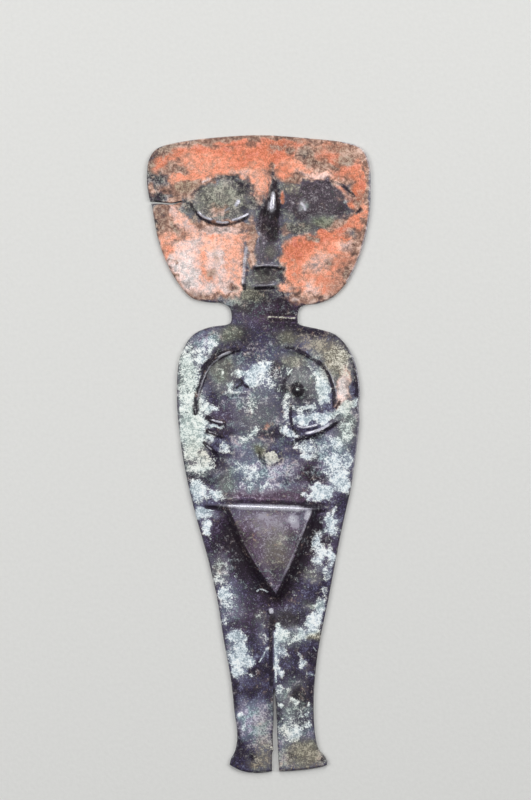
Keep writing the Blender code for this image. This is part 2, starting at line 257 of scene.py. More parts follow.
@dataclass(frozen=True)
class Relief:
    """The hammered relief of the sheet, the same as the solid's: heights by plan position."""

    belly: Boss = Boss((0.6, 9.0), (24.0, 33.0), 1.7, soft=True)
    legs: tuple[Bar, ...] = (
        Bar(5.2, 1.1, ((-9.5, -22.0), (-8.6, -50.0), (-7.2, -74.0), (-6.9, -92.0))),
        Bar(5.2, 1.1, ((9.0, -22.0), (8.2, -50.0), (6.4, -74.0), (6.4, -92.0))),
    )
    cheeks: tuple[Boss, ...] = (
        Boss((-18.5, 61.5), (11.0, 10.5), 0.9, soft=True),
        Boss((18.5, 61.0), (11.5, 10.5), 0.9, soft=True),
    )
    eyes: tuple[Boss, ...] = (
        Boss((-12.8, 80.4), (10.6, 7.9), 2.6),
        Boss((17.8, 78.4), (10.7, 8.2), 2.6),
    )
    lids: tuple[Bar, ...] = (
        Bar(0.9, 0.6, ((-20.4, 77.4), (-17.0, 74.5), (-12.0, 73.2), (-7.5, 74.0), (-3.4, 75.8))),
        Bar(0.9, 0.6, ((19.0, 86.0), (24.3, 84.6), (28.5, 81.6), (31.3, 76.8))),
    )
    lips: tuple[Bar, ...] = (
        Bar(1.1, 0.9, ((-4.3, 59.2), (1.5, 59.4), (7.2, 58.6))),
        Bar(1.1, 0.9, ((-3.3, 53.2), (0.6, 53.0), (4.2, 53.3))),
    )
    breasts: tuple[Boss, ...] = (
        Boss((11.5, 19.3), (6.8, 6.8), 1.4),
        Boss((-8.2, 21.6), (6.4, 6.4), 1.4),
    )
    nipple: Boss = Boss((9.6, 19.9), (1.9, 1.9), 1.3)
    navel: Boss = Boss((0.7, -0.7), (3.0, 3.0), 0.5)
    arms: tuple[Bar, ...] = (
        Bar(1.1, 1.3, ((-7.3, 33.6), (-12.5, 32.4), (-17.6, 29.2), (-19.8, 24.4),
                       (-22.0, 19.0), (-22.5, 12.5))),
        Bar(1.1, 1.3, ((5.2, 33.3), (11.0, 31.8), (17.4, 27.7), (20.2, 21.8),
                       (21.3, 16.5), (20.8, 11.4))),
    )
    fingers: tuple[Bar, ...] = (
        Bar(0.9, 1.0, ((-19.8, 12.5), (-13.4, 9.3))),
        Bar(0.9, 1.0, ((-20.1, 8.4), (-14.6, 6.3))),
        Bar(0.9, 1.0, ((-20.5, 4.8), (-15.8, 1.0))),
        Bar(0.9, 1.0, ((23.2, 11.0), (19.3, 8.4), (13.8, 5.9), (7.3, 4.0))),
        Bar(0.9, 1.0, ((7.5, 16.0), (7.7, 12.0), (8.4, 6.6))),
        Bar(0.9, 1.0, ((16.0, 8.9), (12.2, 8.2))),
    )
    leg_lip: Bar = Bar(1.0, 0.5, ((0.8, -55.6), (0.6, -64.0), (0.8, -72.6)))
    leg_groove: Bar = Bar(0.9, -0.7, ((-0.5, -49.6), (-0.9, -60.0), (-0.6, -72.4)))
    nose_rise: float = 3.6
    nose: Rows = (               # x, y, half-width and share of the rise, from brow to lip
        (3.9, 88.5, 0.9, 0.10), (3.8, 84.5, 1.5, 0.62), (3.5, 79.5, 2.3, 1.0),
        (3.0, 75.0, 2.6, 0.92), (2.0, 69.0, 3.0, 0.55), (0.8, 61.0, 3.6, 0.12),
    )
    triangle_rise: float = 3.9
    corners: Path = ((-12.7, -15.6), (12.9, -17.3), (1.2, -43.1))
    bows: tuple[float, ...] = (0.0, 0.8, 1.4)   # how far each side of the triangle bows out
    slope: float = 2.8           # width of the triangle's flanks
    halo: float = 6.0            # width of the hollow round the triangle
    halo_depth: float = 0.85     # the share of the belly and thighs it takes away
    crest_tips: Path = ((-20.5, -14.8), (18.7, -16.9))
    crest_half: float = 1.3
    crest_rise: float = 1.1
    crest_taper: float = 0.9
    wall: float = 0.8            # how much narrower a hollow behind is than its form in front
    wall_tries: int = 8          # directions in which the wall is looked for

    def triangle_edge(self) -> list[Vector]:
        """Draw the raised triangle's plan, each side a shallow bow between two corners.

        Returns:
            The points of its edge.
        """
        edge = []
        for i, bow in enumerate(self.bows):
            start, end = Vector(self.corners[i]), Vector(self.corners[(i + 1) % 3])
            outward = Vector((start.y - end.y, end.x - start.x)).normalized()
            edge += smooth_curve([start, (start + end) / 2 + bow * outward, end])[:-1]
        return edge

    def from_triangle(self, x: np.ndarray, y: np.ndarray) -> np.ndarray:
        """Measure the distance from the raised triangle's edge.

        Args:
            x: plan positions across the figure.
            y: plan positions along the figure.

        Returns:
            The distance at each position, negative on the triangle's face.
        """
        edge = self.triangle_edge()
        gap, _ = along_path(x, y, edge, closed=True)
        inside = np.zeros(np.shape(x), dtype=bool)
        for start, end in zip(edge, edge[1:] + edge[:1]):
            spans = (start.y > y) != (end.y > y)
            with np.errstate(divide="ignore", invalid="ignore"):
                crossing = start.x + (y - start.y) * (end.x - start.x) / (end.y - start.y)
            inside ^= spans & (x < crossing)
        return np.where(inside, -gap, gap)

    def nose_height(self, x: np.ndarray, y: np.ndarray) -> np.ndarray:
        """Work out the nose's drop-shaped wedge.

        Args:
            x: plan positions across the figure.
            y: plan positions along the figure.

        Returns:
            Its height at each position, 1 between the eyes.
        """
        curve = smooth_curve(self.nose)
        gap, place = along_path(x, y, curve)
        half = np.interp(place, range(len(curve)), [n[2] for n in curve])
        rise = np.interp(place, range(len(curve)), [n[3] for n in curve])
        return rise * np.clip(1.0 - (gap / half)**2, 0.0, 1.0)

    def main_forms(self, x: np.ndarray, y: np.ndarray) -> np.ndarray:
        """Work out the height of the hammered forms above the flat sheet.

        Args:
            x: plan positions across the figure.
            y: plan positions along the figure.

        Returns:
            The height at each position, in millimetres.
        """
        beyond = np.maximum(self.from_triangle(x, y), 0.0)
        height = self.belly.height(x, y)
        for leg in self.legs:
            height = np.maximum(height, leg.height(x, y))
        height *= 1.0 - self.halo_depth * bell(beyond / self.halo)
        face = (*self.cheeks, *self.eyes, *self.lids, *self.lips)
        body = (*self.breasts, self.nipple, self.navel, *self.arms, *self.fingers,
                self.leg_lip, self.leg_groove)
        for form in face + body:
            height += form.height(x, y)
        height = np.maximum(height, self.nose_rise * self.nose_height(x, y))
        height += self.triangle_rise * bell(beyond / self.slope)
        crest = (self.crest_tips[0], *self.corners[:2], self.crest_tips[1])
        return height + self.crest_rise * ridge(x, y, crest, self.crest_half, self.crest_taper, straight=True)

    def front(self, x: np.ndarray, y: np.ndarray) -> np.ndarray:
        """Height of the front above the ground, before its finer relief."""
        return SHEET + self.main_forms(x, y)

    def back(self, x: np.ndarray, y: np.ndarray) -> np.ndarray:
        """Work out the height of the back above the ground: hollow under each raised form.

        Args:
            x: plan positions across the figure.
            y: plan positions along the figure.

        Returns:
            The height at each position, in millimetres.
        """
        lowest = self.main_forms(x, y)
        for i in range(self.wall_tries):
            turn = i * math.tau / self.wall_tries
            beside = self.main_forms(x + self.wall * math.cos(turn), y + self.wall * math.sin(turn))
            lowest = np.minimum(lowest, beside)
        return np.clip(lowest, 0.0, None)


# ------------------------------------------------------------------------------- patina
class Layer(Enum):
    """What lies on the metal, each a number stored at every point of the sheet."""

    TARNISH_SHADE_AND_LIGHT = "tarnish"        # tarnish with painted shade and painted highlights added: 0 pale grey, 1 dark plum
    FILM = "film"              # thin cloudy corrosion film
    GREEN = "green"            # how olive the film is
    WARM = "warm"              # how ochre the film and the crust are
    PLUM = "plum"              # how red the tarnish is
    WASH = "wash"              # beige where the paint has worn thin
    PAINT = "paint"            # how much red paint is left
    TONE = "paint_tone"        # 0 chalky cream, 1 vermilion
    GRIME = "grime"            # soil rubbed into the paint
    CRUST = "crust"            # pale grown corrosion
    WEAR_AND_HIGHLIGHT = "bright"          # bare worn silver, and painted highlights and glints on ridges and edges


@dataclass(frozen=True)
class Stain:
    """One irregular oval stain, in plan millimetres."""

    x: float
    y: float
    half_x: float
    half_y: float
    turn: float = 0.0        # degrees
    strength: float = 1.0
    edge: float = 1.0        # the share of its size over which it fades

    def cover(self, x: np.ndarray, y: np.ndarray) -> np.ndarray:
        """Work out how strongly it covers the sheet.

        Args:
            x: plan positions across the figure.
            y: plan positions along the figure.

        Returns:
            Its strength inside, half of it on its edge and 0 beyond the fading.
        """
        cosine, sine = math.cos(math.radians(self.turn)), math.sin(math.radians(self.turn))
        u = ((x - self.x) * cosine + (y - self.y) * sine) / self.half_x
        v = ((y - self.y) * cosine - (x - self.x) * sine) / self.half_y
        return self.strength * np.clip(0.5 + (1.0 - np.hypot(u, v)) / self.edge, 0.0, 1.0)


# Where each layer lies, from head to foot. A row holds the first values of one Stain.
STAINS: dict[Layer, Rows] = {
    Layer.CRUST: (
        # left shoulder and side
        (-24.2, 27.0, 3.6, 9.0, 8, 0.78), (-20.6, 33.6, 5.0, 2.2, 40, 0.55),
        (-16.6, 34.6, 2.4, 1.2, 40, 0.95), (-20.4, 30.6, 1.6, 2.0, 0, 0.8), (-25.0, 18.0, 3.0, 7.0, 0, 0.8),
        (-19.9, 17.0, 2.2, 3.0, 0, 0.65), (-18.5, 14.6, 3.2, 1.3, -10), (-23.6, 8.4, 4.4, 6.0, 0, 1.4),
        (-20.0, 10.4, 2.0, 1.0, 0, 0.9), (-16.6, 9.6, 2.6, 0.8, -12), (-19.4, 6.4, 3.0, 1.4, -15),
        (-23.8, 3.4, 3.0, 4.6, 0, 1.1), (-19.8, -1.0, 2.8, 3.2, 0, 0.8), (-21.5, -3.6, 3.4, 1.4),
        (-13.6, 2.8, 1.5, 1.7, 0, 0.7),
        # chest and belly
        (-2.6, 27.0, 4.5, 1.8, 15, 1.1), (-6.4, 25.8, 3.6, 1.4, 0, 1.0), (-4.3, 23.6, 2.2, 2.4, 0, 1.15),
        (0.0, 24.0, 3.4, 4.0, 0, 0.55), (1.5, 20.5, 2.6, 2.0, 0, 0.45), (-11.4, 22.4, 1.1, 1.6, -30, 0.85),
        (-13.6, 26.4, 0.9, 1.8, -20, 0.35), (-5.0, 16.8, 5.0, 3.0, 0, 0.3), (-4.6, 7.4, 1.9, 1.1, 35, 0.9),
        (-7.0, 5.2, 2.4, 1.4, 0, 0.55), (-7.6, 9.4, 2.0, 1.2, -40, 0.35), (-7.6, -4.4, 2.8, 2.6, 0, 0.65),
        (-1.0, -5.5, 3.0, 2.6, 0, 0.28), (-1.0, -10.0, 2.6, 1.2, 0, 0.55), (-4.6, -6.2, 2.6, 2.2, 0, 0.75),
        (-5.0, -10.0, 7.0, 1.4, 0, 0.45), (0.7, -1.2, 2.2, 2.1, 0, 1.5, 0.5),
        # right breast, forearm and side
        (13.4, 11.0, 5.5, 1.4, 8, 1.25), (12.6, 14.0, 3.2, 1.3, 0, 0.8), (19.2, 11.2, 3.6, 1.3, 28, 1.2),
        (6.0, 13.4, 1.1, 4.6, 0, 0.6), (6.3, 7.2, 1.8, 1.4, 0, 0.9), (8.2, 5.4, 1.4, 0.7, -35),
        (5.8, 18.2, 1.0, 1.2, 0, 0.6), (17.8, 20.2, 2.2, 5.4, 4, 1.1), (16.2, 25.6, 1.8, 1.6, 0, 0.9),
        (14.6, 27.0, 2.0, 0.8, 0, 0.5), (7.0, 26.0, 0.8, 0.9, 40, 0.8), (26.2, 15.4, 2.4, 1.2, 15, 1.2),
        (24.0, 13.4, 2.2, 1.8, 30, 1.1), (24.8, 7.0, 2.0, 3.6, 0, 0.75), (22.6, 30.0, 3.4, 5.0, 0, 0.5),
        (24.6, 24.6, 1.6, 4.0, 0, 0.5), (22.2, 12.6, 1.2, 0.9, 0, 0.8), (23.6, 8.6, 1.8, 1.6, 0, 0.6),
        (21.6, 3.2, 2.4, 2.0, 0, 1.1), (17.6, 1.6, 1.4, 1.4, 0, 0.8), (12.0, 2.2, 3.4, 2.2, -35, 0.75),
        (12.0, -1.4, 2.4, 1.4, 0, 0.9), (20.6, -3.0, 2.8, 3.0, 0, 0.9), (18.0, -6.0, 1.6, 1.8, 0, 0.7),
        (22.4, -8.6, 3.0, 2.8, 0, 1.2), (24.6, -2.6, 1.8, 3.0, 0, 0.75), (20.5, -5.5, 3.0, 2.0, 0, 0.7),
        (16.8, -11.2, 3.6, 1.6, -6, 1.25), (16.6, -13.6, 3.8, 1.6, 0, 1.45),
        (11.4, -12.8, 1.6, 0.8, 0, 0.8), (24.0, -10.8, 2.2, 2.0, 0, 0.95),
        # hips and thighs
        (-22.4, -10.8, 3.0, 2.8, 0, 1.15), (-16.8, -12.2, 2.6, 1.4, 0, 1.25),
        (-21.4, -17.8, 2.6, 2.2, 0, 1.25), (-18.4, -17.2, 1.8, 1.3, 0, 1.1),
        (-20.0, -22.6, 1.4, 2.6, 14, 1.05), (-18.6, -24.0, 0.8, 0.8, 0, 0.8),
        (18.8, -21.2, 3.0, 2.0, 0, 1.15), (20.4, -18.4, 1.0, 1.6, 0, 0.75), (18.6, -24.0, 2.0, 1.8, 0, 0.9),
        (13.6, -27.4, 2.0, 2.8, 0, 2.1), (15.6, -30.6, 2.4, 2.0, 0, 0.85), (18.9, -32.4, 1.5, 3.0, 5, 1.05),
        (14.2, -33.4, 3.0, 1.6, 0, 0.8), (12.0, -37.0, 3.2, 1.4, 0, 0.6),
        (17.4, -37.6, 1.4, 2.0, -20, 0.75), (15.4, -36.0, 2.0, 1.2, 0, 0.55),
        (16.6, -43.0, 1.0, 1.6, 0, 0.55), (7.0, -43.8, 0.9, 0.9, 0, 0.55),
        (-16.6, -33.6, 2.4, 2.0, 0, 0.45), (-15.0, -37.0, 2.2, 2.4, 0, 0.2),
        (-16.6, -38.6, 1.8, 1.8, 0, 0.55), (-14.8, -43.4, 2.2, 2.4, 0, 1.1),
        (-13.6, -46.6, 2.6, 2.0, 0, 0.6), (-15.2, -51.0, 1.8, 2.2, 0, 0.5),
        (-10.8, -38.4, 0.9, 1.2, 0, 0.6),
        # left leg
        (-12.2, -56.8, 2.7, 2.5, 0, 1.15), (-10.4, -60.4, 2.0, 2.2, 0, 1.1),
        (-11.0, -64.0, 3.2, 2.4, 0, 1.15), (-8.2, -64.6, 2.4, 1.8, 0, 1.1), (-12.0, -67.6, 2.0, 2.0),
        (-9.6, -68.2, 1.6, 1.0, 0, 0.8), (-2.6, -56.5, 0.5, 3.6, 0, 0.35),
        (-2.6, -61.6, 0.7, 1.4, -20, 0.7), (-3.9, -50.4, 1.2, 1.2, 0, 0.25),
        (-7.2, -69.2, 1.0, 0.5, -45, 0.7), (-8.8, -57.2, 1.2, 1.2, 0, 0.8), (-10.3, -81.2, 0.7, 0.7),
        (-9.8, -85.4, 1.0, 1.6, 15, 0.9), (-6.4, -94.5, 0.7, 0.5), (-1.9, -92.8, 0.8, 0.7),
        # right leg
        (15.0, -48.6, 1.7, 3.0, -10, 0.95), (13.0, -52.6, 2.4, 2.6, -30), (12.0, -55.6, 2.8, 1.8, 0, 0.9),
        (8.6, -57.2, 2.0, 1.9, 0, 1.3), (5.4, -58.4, 1.6, 1.0, 0, 0.7), (2.8, -57.2, 2.2, 2.6, 0, 1.15),
        (0.9, -60.6, 0.9, 5.0, 0, 0.95), (2.8, -61.8, 1.6, 1.8, 0, 0.8), (1.0, -66.0, 1.1, 3.0, 0, 0.8),
        (2.0, -68.6, 1.0, 1.2, 0, 0.9), (1.6, -54.0, 1.0, 1.2, 0, 0.8), (8.8, -65.6, 0.8, 1.6, 12, 0.75),
        (8.2, -63.0, 0.7, 0.7, 0, 0.8), (11.5, -69.5, 1.4, 0.5), (1.4, -73.6, 1.0, 1.6, 0, 0.75),
        (1.5, -79.0, 1.1, 0.6, 0, 0.9), (5.4, -77.4, 1.1, 1.8, 0, 0.7), (4.5, -73.6, 1.4, 1.1, 0, 0.55),
        (10.4, -79.0, 0.5, 1.0, 0, 0.8), (10.2, -82.0, 0.8, 1.0, 0, 0.9), (10.0, -85.0, 1.0, 1.6, 0, 0.7),
        (3.8, -82.9, 1.7, 0.9, 0, 0.75), (8.4, -82.6, 1.0, 2.2, 0, 0.6), (5.4, -88.0, 2.2, 2.6, 0, 1.15),
        (4.8, -90.0, 2.0, 0.6, 0, 0.9), (2.4, -87.0, 2.0, 2.0, 0, 0.5), (7.6, -86.0, 1.2, 1.4, 0, 0.55),
        (6.6, -83.6, 4.6, 3.0, 0, 0.45),
        # left cheek
        (-27.4, 62.0, 1.6, 1.0, 0, 0.4),
    ),
    Layer.FILM: (
        # head
        (-13.0, 80.0, 9.6, 6.6, 0, 1.15), (-17.6, 84.0, 3.4, 2.0, 20, 0.9),
        (-10.0, 76.0, 5.0, 1.6, 0, 0.95), (-8.4, 80.8, 2.2, 1.8, 0, 0.6), (-22.0, 85.4, 6.0, 1.7, 8, 1.0),
        (-26.0, 82.4, 2.6, 2.2, 0, 0.9), (-28.2, 81.4, 2.2, 0.9, 0, 1.0), (-13.0, 71.4, 9.0, 1.4, 0, 0.6),
        (-22.0, 74.0, 2.5, 2.4, 40, 0.65), (-3.2, 68.6, 1.4, 7.0, 0, 0.9), (-3.4, 76.4, 1.0, 4.6, 0, 0.6),
        # (13.2, 77.6) and (26.8, 78.8): pale film that paints the right eye's glints
        (9.6, 83.8, 2.0, 1.4, 0, 0.9), (13.2, 77.6, 1.6, 1.8, 0, 0.6), (19.8, 72.8, 5.2, 1.8, 0, 1.1),
        (26.8, 78.8, 0.8, 1.0, 0, 1.0), (12.0, 71.4, 4.0, 1.6, 0, 0.5), (1.6, 56.0, 3.0, 1.2, 0, 0.35),
        (2.6, 63.6, 2.2, 1.6, 0, 0.35), (-4.0, 50.4, 4.0, 2.4, 0, 0.7), (4.4, 49.4, 4.0, 1.6, 0, 0.2),
        (-2.0, 56.0, 1.6, 1.4, 0, 0.6), (-10.0, 48.6, 3.4, 1.6, 0, 1.0), (-34.2, 85.0, 1.3, 2.2, 0, 0.9),
        # neck and chest
        (0.0, 45.0, 11.0, 4.0, 0, 0.28), (-7.0, 47.6, 3.0, 2.0, 0, 0.45), (-6.0, 17.4, 7.5, 3.4, 0, 0.7),
        (-2.6, 13.0, 6.0, 3.4, 0, 0.46), (-4.4, 9.0, 3.4, 2.4, 0, 0.4), (2.4, 10.4, 3.6, 2.4, 0, 0.55),
        (7.6, 34.6, 3.0, 1.6, 0, 0.5), (-11.0, 9.0, 3.0, 2.0, 0, 0.4), (-14.8, 26.0, 3.4, 4.6, 0, 0.65),
        (-9.0, 29.6, 4.6, 3.0, 0, 0.5), (-11.4, 38.2, 3.4, 2.2, 0, 0.7), (7.0, 37.0, 3.2, 2.6, 0, 0.6),
        (-3.0, 38.0, 3.0, 1.6, 0, 0.15), (0.0, 33.6, 5.0, 4.4, 0, 0.35), (8.4, 29.2, 4.0, 2.5, 0, 0.8),
        (14.6, 29.4, 3.4, 2.0, 20, 0.9), (13.4, 24.0, 3.4, 2.4, 0, 0.65), (9.0, 22.0, 7.0, 7.0, 0, 0.55),
        (14.0, 18.0, 3.4, 3.4, 0, 0.5), (11.0, 14.0, 3.0, 2.0, 0, 0.6), (18.6, 33.0, 7.6, 2.8, -22, 0.95),
        (22.0, 29.0, 4.6, 5.8, 0, 1.2), (24.0, 23.0, 2.6, 7.0, 0, 1.2), (25.0, 11.0, 3.4, 5.0, 0, 0.8),
        (-24.0, 16.0, 4.4, 24.0, 3, 0.95), (-19.0, 35.6, 7.0, 3.0, 30, 0.9),
        (-0.4, 23.4, 4.0, 5.0, 0, 0.55), (-8.0, 19.0, 5.0, 3.0, 0, 0.5),
        # belly, hips and thighs
        (-5.0, -3.4, 9.0, 4.6, 0, 0.6), (-7.0, 3.6, 4.4, 3.6, 0, 0.66), (-2.6, 1.8, 3.4, 2.4, 0, 0.8),
        (4.6, 3.0, 3.4, 2.6, 0, 0.35), (-15.6, -6.0, 2.4, 2.6, 0, 0.6), (-3.0, -9.8, 11.0, 2.0, 0, 0.9),
        (-13.0, -9.0, 4.0, 3.0, 0, 0.75), (8.0, -9.6, 4.0, 2.0, 0, 0.45), (-1.0, -4.4, 9.4, 4.4, 0, 0.92),
        (-12.6, -6.0, 3.0, 2.6, 0, 0.65), (20.0, -2.0, 5.4, 10.0, 0, 0.75), (24.0, 5.0, 3.0, 4.0, 0, 0.8),
        (-21.6, -3.0, 4.0, 4.0, 0, 0.6), (-15.6, -18.4, 2.0, 1.6, 0, 0.45),
        (16.4, -18.4, 2.0, 1.4, 0, 0.45), (-15.6, -35.0, 3.4, 5.0, 0, 0.5),
        (-13.0, -46.0, 4.4, 7.0, 0, 0.5), (-4.0, -55.0, 1.6, 6.0, 0, 0.3), (11.6, -38.0, 4.0, 2.4, 0, 0.65),
        (12.4, -48.0, 2.4, 1.2, 0, 0.6), (17.0, -24.6, 4.0, 2.6, 0, 0.55), (3.4, -27.0, 2.4, 2.8, 0, 0.55),
        (-2.6, -24.0, 2.6, 2.2, 0, 0.5), (1.6, -33.8, 1.6, 2.6, 0, 0.5), (0.4, -39.4, 1.4, 1.6, 0, 0.45),
        # legs
        (-7.6, -77.6, 4.4, 1.6, 0, 0.3), (5.6, -71.6, 2.6, 1.6, 0, 0.5), (-6.8, -83.6, 5.6, 5.6, 0, 1.2),
        (-5.0, -89.4, 4.2, 4.0, 0, 1.1), (-4.6, -95.8, 4.0, 3.4, 0, 0.7), (3.0, -75.4, 3.0, 3.4, 0, 0.65),
        (6.0, -81.0, 5.4, 3.0, 0, 0.6), (3.0, -88.0, 3.0, 4.6, 0, 0.9), (9.4, -88.0, 3.0, 3.0, 0, 0.6),
        (7.8, -94.6, 9.0, 4.4, 0, 1.1), (13.0, -57.6, 2.0, 1.4, 0, 0.8), (-11.0, -63.0, 3.6, 6.0, 0, 0.7),
        (6.0, -57.0, 6.0, 3.0, 0, 0.6),
    ),
    Layer.GREEN: (
        (-13.0, 81.0, 12.0, 7.0, 0, 0.75), (-22.0, 85.4, 7.0, 2.0, 8, 0.7), (-26.0, 82.4, 3.0, 2.4, 0, 0.5),
        (-13.0, 71.8, 9.0, 1.6, 0, 0.5), (8.6, 84.0, 2.0, 3.0, 0, 0.6), (9.0, 76.0, 3.0, 4.0, 0, 0.5),
        (19.4, 72.8, 5.4, 2.2, 0, 1.0), (12.0, 71.0, 6.0, 2.0, 0, 0.7), (0.4, 56.2, 5.0, 3.0, 0, 0.8),
        (-4.0, 50.4, 5.0, 3.0, 0, 0.9), (2.6, 63.6, 2.6, 2.0, 0, 0.8), (22.0, 96.4, 9.0, 2.0, 0, 0.5),
        (-7.0, 47.6, 4.0, 3.0, 0, 0.7), (-14.0, 27.0, 5.0, 6.0, 0, 0.8), (-10.4, 38.2, 5.0, 3.0, 0, 0.9),
        (7.0, 37.0, 4.0, 3.0, 0, 0.9), (8.4, 28.6, 5.0, 3.0, 0, 0.7), (10.4, 22.0, 7.0, 7.0, 0, 0.6),
        (22.0, 29.0, 5.0, 7.0, 0, 0.75), (-25.0, 24.0, 4.0, 12.0, 0, 0.6), (-3.0, 12.0, 7.0, 8.0, 0, 0.45),
        (-24.0, 8.0, 5.0, 14.0, 0, 0.6), (-2.4, 1.8, 2.4, 2.0, 0, 1.0), (25.0, 9.0, 4.0, 7.0, 0, 0.6),
        (-13.6, -8.0, 3.0, 5.0, 0, 0.6), (-21.0, -4.0, 4.0, 3.0, 0, 0.5), (2.0, -30.0, 4.0, 6.0, 0, 0.6),
        (12.6, -47.6, 3.0, 2.0, 0, 0.6), (11.6, -37.6, 4.0, 2.4, 0, 0.5), (-3.8, -50.6, 2.0, 2.0, 0, 0.4),
        (4.0, -52.0, 6.0, 3.0, 0, 0.6), (13.0, -57.6, 2.4, 2.0, 0, 0.8), (6.0, -78.0, 6.0, 8.0, 0, 0.5),
        (10.0, -93.4, 6.0, 4.0, 0, 0.8), (-5.0, -96.4, 4.0, 3.0, 0, 0.6), (-16.6, -35.0, 2.4, 4.0, 0, 0.6),
        (-26.0, 34.0, 4.0, 4.0, 0, 0.4), (5.0, -58.0, 4.0, 3.0, 0, 0.4),
    ),
    Layer.WARM: (
        (-29.0, 84.0, 6.0, 4.0, 0, 0.4), (-24.0, 84.8, 6.0, 2.6, 0, 0.8), (-3.6, 68.0, 2.4, 10.0, 0, 0.45),
        (22.0, 94.0, 10.0, 5.0, 0, 0.7), (9.4, 84.0, 2.6, 3.0, 0, 0.8), (-15.0, 50.6, 8.0, 2.0, 0, 0.4),
        (33.2, 86.0, 2.0, 12.0, 0, 0.3), (29.4, 64.0, 2.0, 8.0, -15, 0.5), (5.0, 42.8, 6.0, 1.2, 0, 0.9),
        (17.0, 34.4, 10.0, 4.0, -20, 0.85), (22.0, 30.0, 5.0, 6.0, 0, 0.8), (24.4, 23.0, 3.0, 8.0, 0, 0.75),
        (9.4, 29.2, 5.0, 2.4, 0, 0.5), (1.0, -0.4, 3.4, 3.0, 0, 0.7), (-19.6, 0.4, 2.6, 3.0, 0, 0.6),
        (-24.0, 0.0, 3.0, 5.0, 0, 0.25), (-3.0, -24.0, 8.0, 9.0, 0, 0.6), (2.0, -31.0, 3.0, 6.0, 0, 0.7),
        (-8.6, -24.0, 1.6, 5.0, 26, 0.6), (-4.0, -22.6, 2.0, 1.4, 0, 0.6), (5.6, -25.0, 2.0, 1.6, 0, 0.5),
        (12.0, -38.0, 5.0, 3.0, 0, 0.4), (13.0, -57.6, 2.4, 1.6, 0, 0.7), (8.0, -74.0, 3.0, 1.6, 0, 0.5),
        (-3.4, -84.6, 3.0, 5.0, 0, 0.4), (-3.6, -94.0, 4.6, 6.0, 0, 0.8), (8.0, -95.0, 10.0, 5.0, 0, 0.75),
        (2.2, -88.0, 2.4, 3.0, 0, 0.35), (-8.0, -97.6, 7.0, 1.2, 0, 1.0), (8.0, -98.6, 8.0, 1.2, 4, 1.0),
    ),
    Layer.PLUM: (
        (-33.0, 85.0, 3.0, 5.0, 0, 0.6), (3.0, 45.0, 10.0, 5.0, 0, 0.8), (-8.4, -24.4, 1.4, 6.0, 26, 1.2),
        (-1.4, -37.4, 1.4, 4.0, 28, 1.0), (0.0, -12.6, 17.0, 2.4, -3, 1.1),
        (0.0, -26.0, 17.0, 13.0, 0, 0.9), (1.0, -42.0, 6.0, 6.0, 0, 0.7), (12.0, -6.0, 5.0, 4.0, 0, 0.7),
        (-8.0, -50.0, 6.0, 6.0, 0, 0.5), (-14.0, 12.0, 5.0, 5.0, 0, 0.4),
    ),
    Layer.WASH: (
        (0.0, 95.4, 38.0, 7.6, 0, 1.0, 0.35), (27.0, 91.0, 8.4, 7.0, 0, 1.0, 0.3),
        (-26.0, 92.6, 10.0, 4.6, 0, 1.0, 0.4), (31.0, 78.0, 2.8, 14.0, 4, 1.0, 0.7),
        (20.6, 59.8, 12.4, 10.0, 0, 1.0, 0.3), (11.6, 58.6, 5.2, 9.2, 0, 1.0, 0.3),
        (-20.0, 61.0, 13.6, 11.6, 0, 1.0, 0.3), (-12.0, 60.4, 6.4, 10.8, 0, 1.0, 0.3),
        (-30.0, 73.6, 5.0, 6.0, 0, 1.0, 0.4), (-14.0, 72.0, 11.0, 1.8, 0, 1.0),
        (0.0, 87.2, 3.0, 4.8, 0, 1.0, 0.4), (-3.2, 66.6, 1.4, 7.0, 0, 0.9), (-24.4, 85.0, 4.6, 3.2, 0, 1.0),
        (-34.0, 84.6, 1.3, 1.8, 0, 1.0), (-29.8, 84.0, 2.0, 1.8, 0, 1.0), (-13.6, 77.4, 3.0, 1.4, -15, 0.5),
        (9.8, 87.2, 4.0, 2.0, 0, 1.0), (15.0, 87.6, 12.0, 1.5, -11, 1.0), (26.6, 81.0, 4.6, 1.3, -52, 0.9),
        (7.0, 70.4, 1.6, 1.2, 20, 0.6), (26.0, 71.0, 6.0, 2.6, 25, 1.0), (12.8, 48.6, 7.4, 1.7, 3, 1.1),
        (-5.6, 88.8, 3.8, 1.6, 0, 1.0), (-26.6, 80.6, 2.2, 1.6, 0, 0.8), (-17.0, 87.0, 3.0, 1.4, 25, 1.0),
    ),
    Layer.PAINT: (
        (-16.0, 92.8, 9.0, 4.4, 4, 1.1, 0.8), (-4.0, 92.8, 7.5, 4.6, 0, 1.1), (4.0, 95.0, 8.0, 4.6, 0, 0.9),
        (-0.2, 86.4, 3.2, 5.4), (-20.6, 88.8, 8.0, 1.2, 8), (-27.6, 87.2, 1.4, 1.6, 0, 0.9),
        (-24.8, 87.6, 4.0, 0.9, 6, 0.9), (-26.0, 95.0, 6.0, 2.0, 8, 0.75), (-31.8, 92.8, 2.6, 2.8, 0, 0.8),
        (-8.0, 98.4, 9.0, 1.4, 0, 0.75), (12.0, 98.0, 6.0, 1.2, 0, 0.6), (11.0, 90.2, 4.8, 1.6, -20, 1.1),
        (7.6, 88.6, 2.6, 2.2, 0, 1.0), (21.6, 93.0, 4.4, 2.4, -20, 0.8), (26.0, 88.6, 3.8, 2.6, 0, 0.75),
        (30.4, 88.0, 3.0, 3.4, 0, 0.85), (22.0, 96.2, 5.0, 1.4, -6, 0.55), (31.0, 82.6, 2.2, 3.6),
        (18.3, 87.0, 4.2, 1.0, -8), (32.2, 77.0, 1.4, 3.4, 0, 0.85), (6.6, 80.6, 0.6, 2.1),
        (25.4, 82.6, 2.4, 0.8, -42), (28.4, 78.2, 3.0, 0.9, -68), (28.8, 72.8, 3.8, 1.5, 35),
